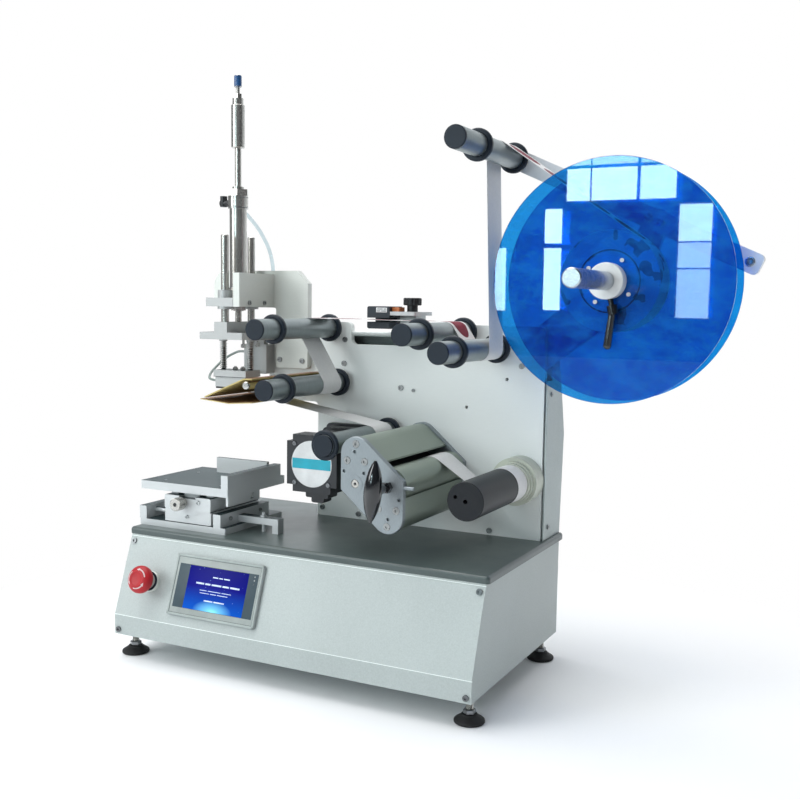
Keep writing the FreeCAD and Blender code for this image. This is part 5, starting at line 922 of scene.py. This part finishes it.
rodBase = spot(-208.0, -59.0, 0)
lathe("rodCap", rounded([(0, 872.6), (4.2, 872.6), (5.8, 871.0), (5.8, 855.8), (4.8, 854.4), (0, 854.4)],
                        0.8),
      rodBase, (0, 0, 1), looks["blueCap"], "press_head", 40)
for index, (radius, low, high, look) in enumerate((
        (13.7, 534.0 + 14.2, 550.0, "darkSteel"), (15.6, 671.0, 672.2, "darkSteel"), (15.6, 686.6, 687.6, "darkSteel"))):
    lathe("cylinderBand%d" % index, rounded([(radius - 0.6, low), (radius, low), (radius, high), (radius - 0.6, high)], 0.2),
          rodBase, (0, 0, 1), looks[look], "frame", 64)
# black sleeve over each stud inside its spring: painted shade, so the gaps between the coils read dark
springGapShadeLook = {"radius": 3.45, "low": 419.4, "high": 455.0}
for index, x in enumerate((-233.5, -181.5)):
    wide, low, high = (springGapShadeLook[key] for key in ("radius", "low", "high"))
    lathe("studGapShade%d" % index, [(3.25, low), (wide, low), (wide, high), (3.25, high), (3.25, low)],
          spot(x, -64.0, 0), (0, 0, 1), looks["black"], "press_shoe", 32)
seamLook = {"left": -238.4, "right": -176.6, "front": -84.12, "back": -83.6, "low": 408.5, "high": 409.2}
softBox("toolSeam", (seamLook["left"], seamLook["front"], seamLook["low"]),
        (seamLook["right"], seamLook["back"], seamLook["high"]), looks["slate"], "press_shoe", 0.05)
armLook = {"x": 551.3, "z": 586.8, "front": -2.0}
lathe("armScrewRing", rounded([(4.2, 0.2), (6.6, 0.2), (6.6, -1.2), (4.2, -1.2), (4.2, 0.2)], 0.4),
      spot(armLook["x"], armLook["front"], armLook["z"]), (0, 1, 0), looks["spring"], "frame", 40)
lathe("armScrewHead", rounded([(0, -2.4), (2.2, -2.4), (2.2, -4.2), (4.9, -4.2), (4.9, 0.2), (0, 0.2)], 0.4),
      spot(armLook["x"], armLook["front"], armLook["z"]), (0, 1, 0), looks["darkSteel"], "frame", 40)
softBox("sensorPlate", (33.0, -50.25, 513.6), (51.0, -49.9, 520.6), looks["white"], "sensor", 0.08)
for index, (left, low, right, high) in enumerate(((34.5, 517.6, 44.0, 519.6), (45.5, 517.6, 49.5, 519.6),
                                                  (34.5, 514.8, 40.0, 516.6), (41.5, 514.8, 49.5, 516.6))):
    softBox("sensorMark%d" % index, (left, -50.35, low), (right, -50.2, high), looks["greyPlastic"], "sensor", 0.04)
boltLook = {"cross": 4.0, "shank": 2.0, "finish": "spring"}
for index, (x, y, low, high, shank, body, node) in enumerate((
        (-181.5, -83.0, 455.5, 461.0, 468.2, "press_head", "press_carriage"),
        (-181.5, -45.0, 455.5, 461.0, 468.2, "press_head", "press_carriage"),
        (-210.4, -64.0, 419.1, 423.4, 425.0, "press_shoe", "press_tool"),
        (-196.4, -64.0, 419.1, 423.4, 425.0, "press_shoe", "press_tool"))):
    cross, thin = boltLook["cross"], boltLook["shank"]
    lathe("headBolt%d" % index, [(0, low), (cross - 0.5, low), (cross, low + 0.5), (cross, high - 0.5), (cross - 0.5, high),
                                 (thin, high), (thin, shank), (0, shank)],
          spot(x, y, 0), (0, 0, 1), looks[boltLook["finish"]], body, 6, 0.3)
lathe("peelRodEnd", rounded([(0, -202.2), (4.6, -202.2), (5.9, -201.0), (5.9, -198.6), (0, -198.6)], 0.5),
      spot(-94.0, 0, 408.4), (0, 1, 0), looks["spring"], "frame", 40)
print("stage: press head")


def knurlBuild(working):
    # a knurled head: ridges around a short drum
    count = 40
    rows = ((-222.0, 8.6), (-221.4, 9.3), (-208.0, 9.3), (-207.0, 8.6))
    rings = []
    for y, radius in rows:
        ring = []
        for step in range(count * 2):
            angle = step * math.tau / (count * 2)
            reach = radius + (0.45 if step % 2 else -0.1)
            ring.append(working.verts.new(spot(-205.0 + reach * math.cos(angle), y, 229.5 + reach * math.sin(angle))))
        rings.append(ring)
    for a, b in zip(rings[:-1], rings[1:]):
        for step in range(len(a)):
            following = (step + 1) % len(a)
            working.faces.new((a[step], a[following], b[following], b[step]))
    working.faces.new(rings[0][::-1])
    working.faces.new(rings[-1])


knobHead = makeObject("knobHead", meshFrom("knobHead", knurlBuild), looks["steel"], "table_screw", 0.4)
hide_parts("table_knob")
lathe("knobStem", rounded([(0, -209.0), (7.0, -209.0), (7.0, -202.0), (4.0, -202.0), (4.0, -189.0), (0, -189.0)], 0.5),
      tableScrewCentre, (0, 1, 0), looks["steel"], "table_screw", 40)
# black hexagon on the knob's face: painted shade standing in for its socket hollow
lathe("knobSocketShade", [(0, -222.05), (2.6, -222.1), (3.2, -222.3), (3.2, -221.9), (0, -221.9)],
      tableScrewCentre, (0, 1, 0), looks["black"], "table_screw", 6)

footProfile = [(0, 0.2), (18.6, 0.2), (20.0, 1.4), (20.0, 4.0), (18.8, 5.2), (13.5, 8.6), (11.0, 10.4),
               (10.2, 12.0), (0, 12.0)]
studRings = [(0, 12.0)]
height = 12.0
while height < 42.0:
    studRings += [(4.4, height), (5.0, height + 0.75)]
    height += 1.5
studRings += [(4.0, 43.0), (0, 43.0)]
first = True
for side in (-1, 1):
    for y in (-233.0, 38.0):
        name = "%s%s" % ("Left" if side < 0 else "Right", "Front" if y < 0 else "Back")
        base = spot(side * 272.0, y, 0)
        pad = lathe("footPad" + name, rounded(footProfile, 1.0), base, (0, 0, 1), looks["rubber"], "frame",
                    56)
        if first:
            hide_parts("leveling_feet")
            first = False
        lathe("footStud" + name, studRings, base, (0, 0, 1), looks["steel"], "frame", 24, 0.3)
        for nut, low in (("Low", 12.0), ("High", 29.2)):
            lathe("footNut" + nut + name,
                  [(5.1, low), (7.4, low), (8.4, low + 0.8), (8.4, low + 5.2), (7.4, low + 6.0), (5.1, low + 6.0)],
                  base, (0, 0, 1), looks["darkSteel"], "frame", 6, 0.3)
print("stage: knobs and feet")


driveBase = spot(89.4, 0, 286.0)
rubber = lathe("driveRubber", rounded([(12.1, -10.6), (24.0, -10.6), (24.0, -200.4), (12.1, -200.4), (12.1, -10.6)], 0.8),
               driveBase, (0, 1, 0), looks["rubber"], "drive")
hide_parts("drive_roller")
lathe("driveShaft", rounded([(1.4, -206.0), (1.9, -209.6), (5.2, -209.6), (6.0, -208.8), (6.0, 36.0), (0, 36.0)], 0.3),
      driveBase, (0, 1, 0), looks["steel"], "drive", 48)
# black cone closing the shaft's centre hole: painted shade of the hollow
lathe("driveCentreShade", [(0, -206.2), (2.2, -206.2), (2.2, -209.0), (1.6, -209.0), (0, -206.6)], driveBase,
       (0, 1, 0), looks["black"], "drive", 24)
lathe("driveCore", [(6.1, -10.7), (12.0, -10.7), (12.0, -200.3), (6.1, -200.3)],
      driveBase, (0, 1, 0), looks["steel"], "drive")


def pulleyProfile(radius, bore):
    points = [(bore, 22.0), (radius + 1.8, 22.0), (radius + 1.8, 24.0), (radius, 24.0)]
    points += [(radius, 36.0), (radius + 1.8, 36.0), (radius + 1.8, 38.0), (bore, 38.0), (bore, 22.0)]
    return points


lathe("drivePulley", rounded(pulleyProfile(20.0, 6.0), 0.3), driveBase, (0, 1, 0), looks["bright"], "drive",
      60)
print("stage: drive")


cameraLook = {
    "place": (758.15, -1404.98, 527.0), "azimuth": 0.46941, "elevation": 0.10675, "roll": 0.01436,
    "lens": 1035.2 / 800 * 36, "shiftX": 0.00306, "shiftY": 0.0180,
}
azimuth, elevation, roll = cameraLook["azimuth"], cameraLook["elevation"], cameraLook["roll"]
forward = Vector((-math.sin(azimuth) * math.cos(elevation), math.cos(azimuth) * math.cos(elevation),
                  -math.sin(elevation)))
right = forward.cross(Vector((0, 0, 1))).normalized()
up = right.cross(forward)
tiltRight = right * math.cos(roll) + up * math.sin(roll)
tiltUp = up * math.cos(roll) - right * math.sin(roll)
cameraData = bpy.data.cameras.new("viewCamera")
cameraData.lens = cameraLook["lens"]
cameraData.sensor_width = 36.0
cameraData.sensor_fit = "HORIZONTAL"
cameraData.shift_x = cameraLook["shiftX"]
cameraData.shift_y = cameraLook["shiftY"]
cameraData.clip_start = 0.05
cameraData.clip_end = 60.0
camera = bpy.data.objects.new("viewCamera", cameraData)
bpy.context.scene.collection.objects.link(camera)
turnMatrix = Matrix((tiltRight, tiltUp, -forward)).transposed().to_4x4()
camera.matrix_world = Matrix.Translation(spot(*cameraLook["place"])) @ turnMatrix
bpy.context.scene.camera = camera

stageLook = {"floor": (0.86, 0.87, 0.88), "size": 9.0, "rise": 5.0, "bend": 1.2, "back": 2.6}


def backdropBuild(working):
    # a floor that curves up into a backdrop
    size, rise, bend, back = (stageLook[key] for key in ("size", "rise", "bend", "back"))
    profile = [(-size, 0.0), (back - bend, 0.0)]
    for step in range(1, 13):
        angle = step / 12 * math.pi / 2
        profile.append((back - bend + bend * math.sin(angle), bend - bend * math.cos(angle)))
    profile.append((back, rise))
    rows = []
    for y, z in profile:
        rows.append([working.verts.new((x, y, z)) for x in (-size, size)])
    for a, b in zip(rows[:-1], rows[1:]):
        working.faces.new((a[0], a[1], b[1], b[0]))


backdropMesh = meshFrom("backdrop", backdropBuild)
backdrop = bpy.data.objects.new("backdrop", backdropMesh)
bpy.context.scene.collection.objects.link(backdrop)
backdropMaterial, backdropTree, backdropShader = startMaterial("pale_floor")
floorNoise = noise(backdropTree, objectCoords(backdropTree), 3.0, 3.0)
backdropTree.links.new(ramp(backdropTree, floorNoise, [(0.3, shade(stageLook["floor"], 0.99)),
                                                     (0.7, stageLook["floor"])]),
                       backdropShader.inputs["Base Color"])
backdropShader.inputs["Roughness"].default_value = 0.9
backdropShader.inputs["Specular IOR Level"].default_value = 0.1
# away from the machine the camera and clear sheets see plain white
floorReach = addNode(backdropTree, "ShaderNodeVectorMath", operation="LENGTH")
backdropTree.links.new(objectCoords(backdropTree, (1 / 1.0, 1 / 0.8, 2.0)), floorReach.inputs[0])
farAway = ramp(backdropTree, floorReach.outputs["Value"], [(0.40, (0, 0, 0)), (0.85, (1, 1, 1))])
seen = addNode(backdropTree, "ShaderNodeLightPath")
plainWhite = addNode(backdropTree, "ShaderNodeEmission")
plainWhite.inputs["Color"].default_value = (1.0, 1.0, 1.0, 1.0)
looked = mathNode(backdropTree, "MAXIMUM", seen.outputs["Is Camera Ray"], seen.outputs["Is Transmission Ray"])
whiteMix = addNode(backdropTree, "ShaderNodeMixShader")
backdropTree.links.new(mathNode(backdropTree, "MULTIPLY", looked, farAway), whiteMix.inputs[0])
backdropTree.links.new(backdropShader.outputs["BSDF"], whiteMix.inputs[1])
backdropTree.links.new(plainWhite.outputs["Emission"], whiteMix.inputs[2])
backdropTree.links.new(whiteMix.outputs["Shader"], backdropTree.nodes["Material Output"].inputs["Surface"])
backdropMesh.materials.append(backdropMaterial)


def areaLight(name, place, target, width, height, power, color=(1, 1, 1)):
    data = bpy.data.lights.new(name, "AREA")
    data.shape = "RECTANGLE"
    data.size = width
    data.size_y = height
    data.energy = power
    data.color = color
    lamp = bpy.data.objects.new(name, data)
    bpy.context.scene.collection.objects.link(lamp)
    direction = Vector(target) - Vector(place)
    lamp.matrix_world = Matrix.Translation(place) @ direction.to_track_quat("-Z", "Y").to_matrix().to_4x4()
    return lamp


areaLight("overhead", (-0.75, -0.5, 2.5), (-0.1, 0.0, 0.3), 1.9, 1.9, 42.0)
areaLight("leftWindow", (-2.0, -2.2, 1.5), (0.0, 0.0, 0.4), 1.2, 1.6, 36.0, (0.96, 0.99, 1.0))
areaLight("backWash", (-0.6, 1.0, 3.6), (-0.6, 2.6, 0.9), 4.4, 1.0, 60.0)
# window panes that the discs mirror towards the camera: x, z, width, height, brightness
paneLook = {"y": -2.95, "power": 70.0}
panes = [(-0.717, 1.135, 0.10, 0.045, 0.6), (-0.565, 1.135, 0.19, 0.045, 0.6), (-0.383, 1.135, 0.146, 0.045, 0.5),
         (-0.717, 1.033, 0.10, 0.133, 1.0), (-0.565, 1.033, 0.19, 0.133, 1.0), (-0.383, 1.033, 0.146, 0.133, 0.9),
         (-0.228, 0.867, 0.13, 0.148, 0.8), (-0.228, 0.737, 0.13, 0.10, 0.5), (-0.228, 0.583, 0.13, 0.196, 0.45),
         (-0.822, 0.864, 0.075, 0.144, 1.1), (-0.822, 0.640, 0.075, 0.263, 1.0), (-1.058, 0.639, 0.05, 0.27, 0.8)]
for index, (x, z, width, height, share) in enumerate(panes):
    areaLight("windowPane%d" % index, (x, paneLook["y"], z), (x, 0.0, z), width, height,
              paneLook["power"] * share * width * height, (0.72, 0.95, 1.0))

world = bpy.data.worlds.new("studio")
bpy.context.scene.world = world
world.use_nodes = True
worldTree = world.node_tree
background = worldTree.nodes["Background"]
background.inputs["Color"].default_value = (0.92, 0.96, 1.0, 1.0)
# the room is brighter at the front left than at the right, and dimmer in reflections
roomLook = {"strength": 0.46, "lean": (-0.50, -0.75, 0.43), "base": 0.66, "swing": 0.82, "mirrored": 0.22}
direction = addNode(worldTree, "ShaderNodeTexCoord").outputs["Generated"]
lean = addNode(worldTree, "ShaderNodeVectorMath", operation="DOT_PRODUCT")
worldTree.links.new(direction, lean.inputs[0])
lean.inputs[1].default_value = roomLook["lean"]
level = mathNode(worldTree, "MAXIMUM", mathNode(worldTree, "MULTIPLY_ADD", lean.outputs["Value"], roomLook["swing"],
                                                roomLook["base"]), 0.1)
mirrored = addNode(worldTree, "ShaderNodeLightPath").outputs["Is Glossy Ray"]
dim = mathNode(worldTree, "MULTIPLY_ADD", mirrored, roomLook["mirrored"] - 1.0, 1.0)
worldTree.links.new(mathNode(worldTree, "MULTIPLY", mathNode(worldTree, "MULTIPLY", level, dim), roomLook["strength"]),
                    background.inputs["Strength"])
# the camera and clear sheets see a plain white room
roomPath = addNode(worldTree, "ShaderNodeLightPath")
whiteRoom = addNode(worldTree, "ShaderNodeBackground")
whiteRoom.inputs["Color"].default_value = (1.0, 1.0, 1.0, 1.0)
whiteRoom.inputs["Strength"].default_value = 1.0
roomMix = addNode(worldTree, "ShaderNodeMixShader")
worldTree.links.new(mathNode(worldTree, "MAXIMUM", roomPath.outputs["Is Camera Ray"],
                             roomPath.outputs["Is Transmission Ray"]), roomMix.inputs[0])
worldTree.links.new(background.outputs["Background"], roomMix.inputs[1])
worldTree.links.new(whiteRoom.outputs["Background"], roomMix.inputs[2])
worldTree.links.new(roomMix.outputs["Shader"], worldTree.nodes["World Output"].inputs["Surface"])
bpy.context.scene.view_settings.view_transform = "Standard"
bpy.context.scene.view_settings.look = "None"
bpy.context.scene.view_settings.exposure = 0.0
print("stage: camera and light")
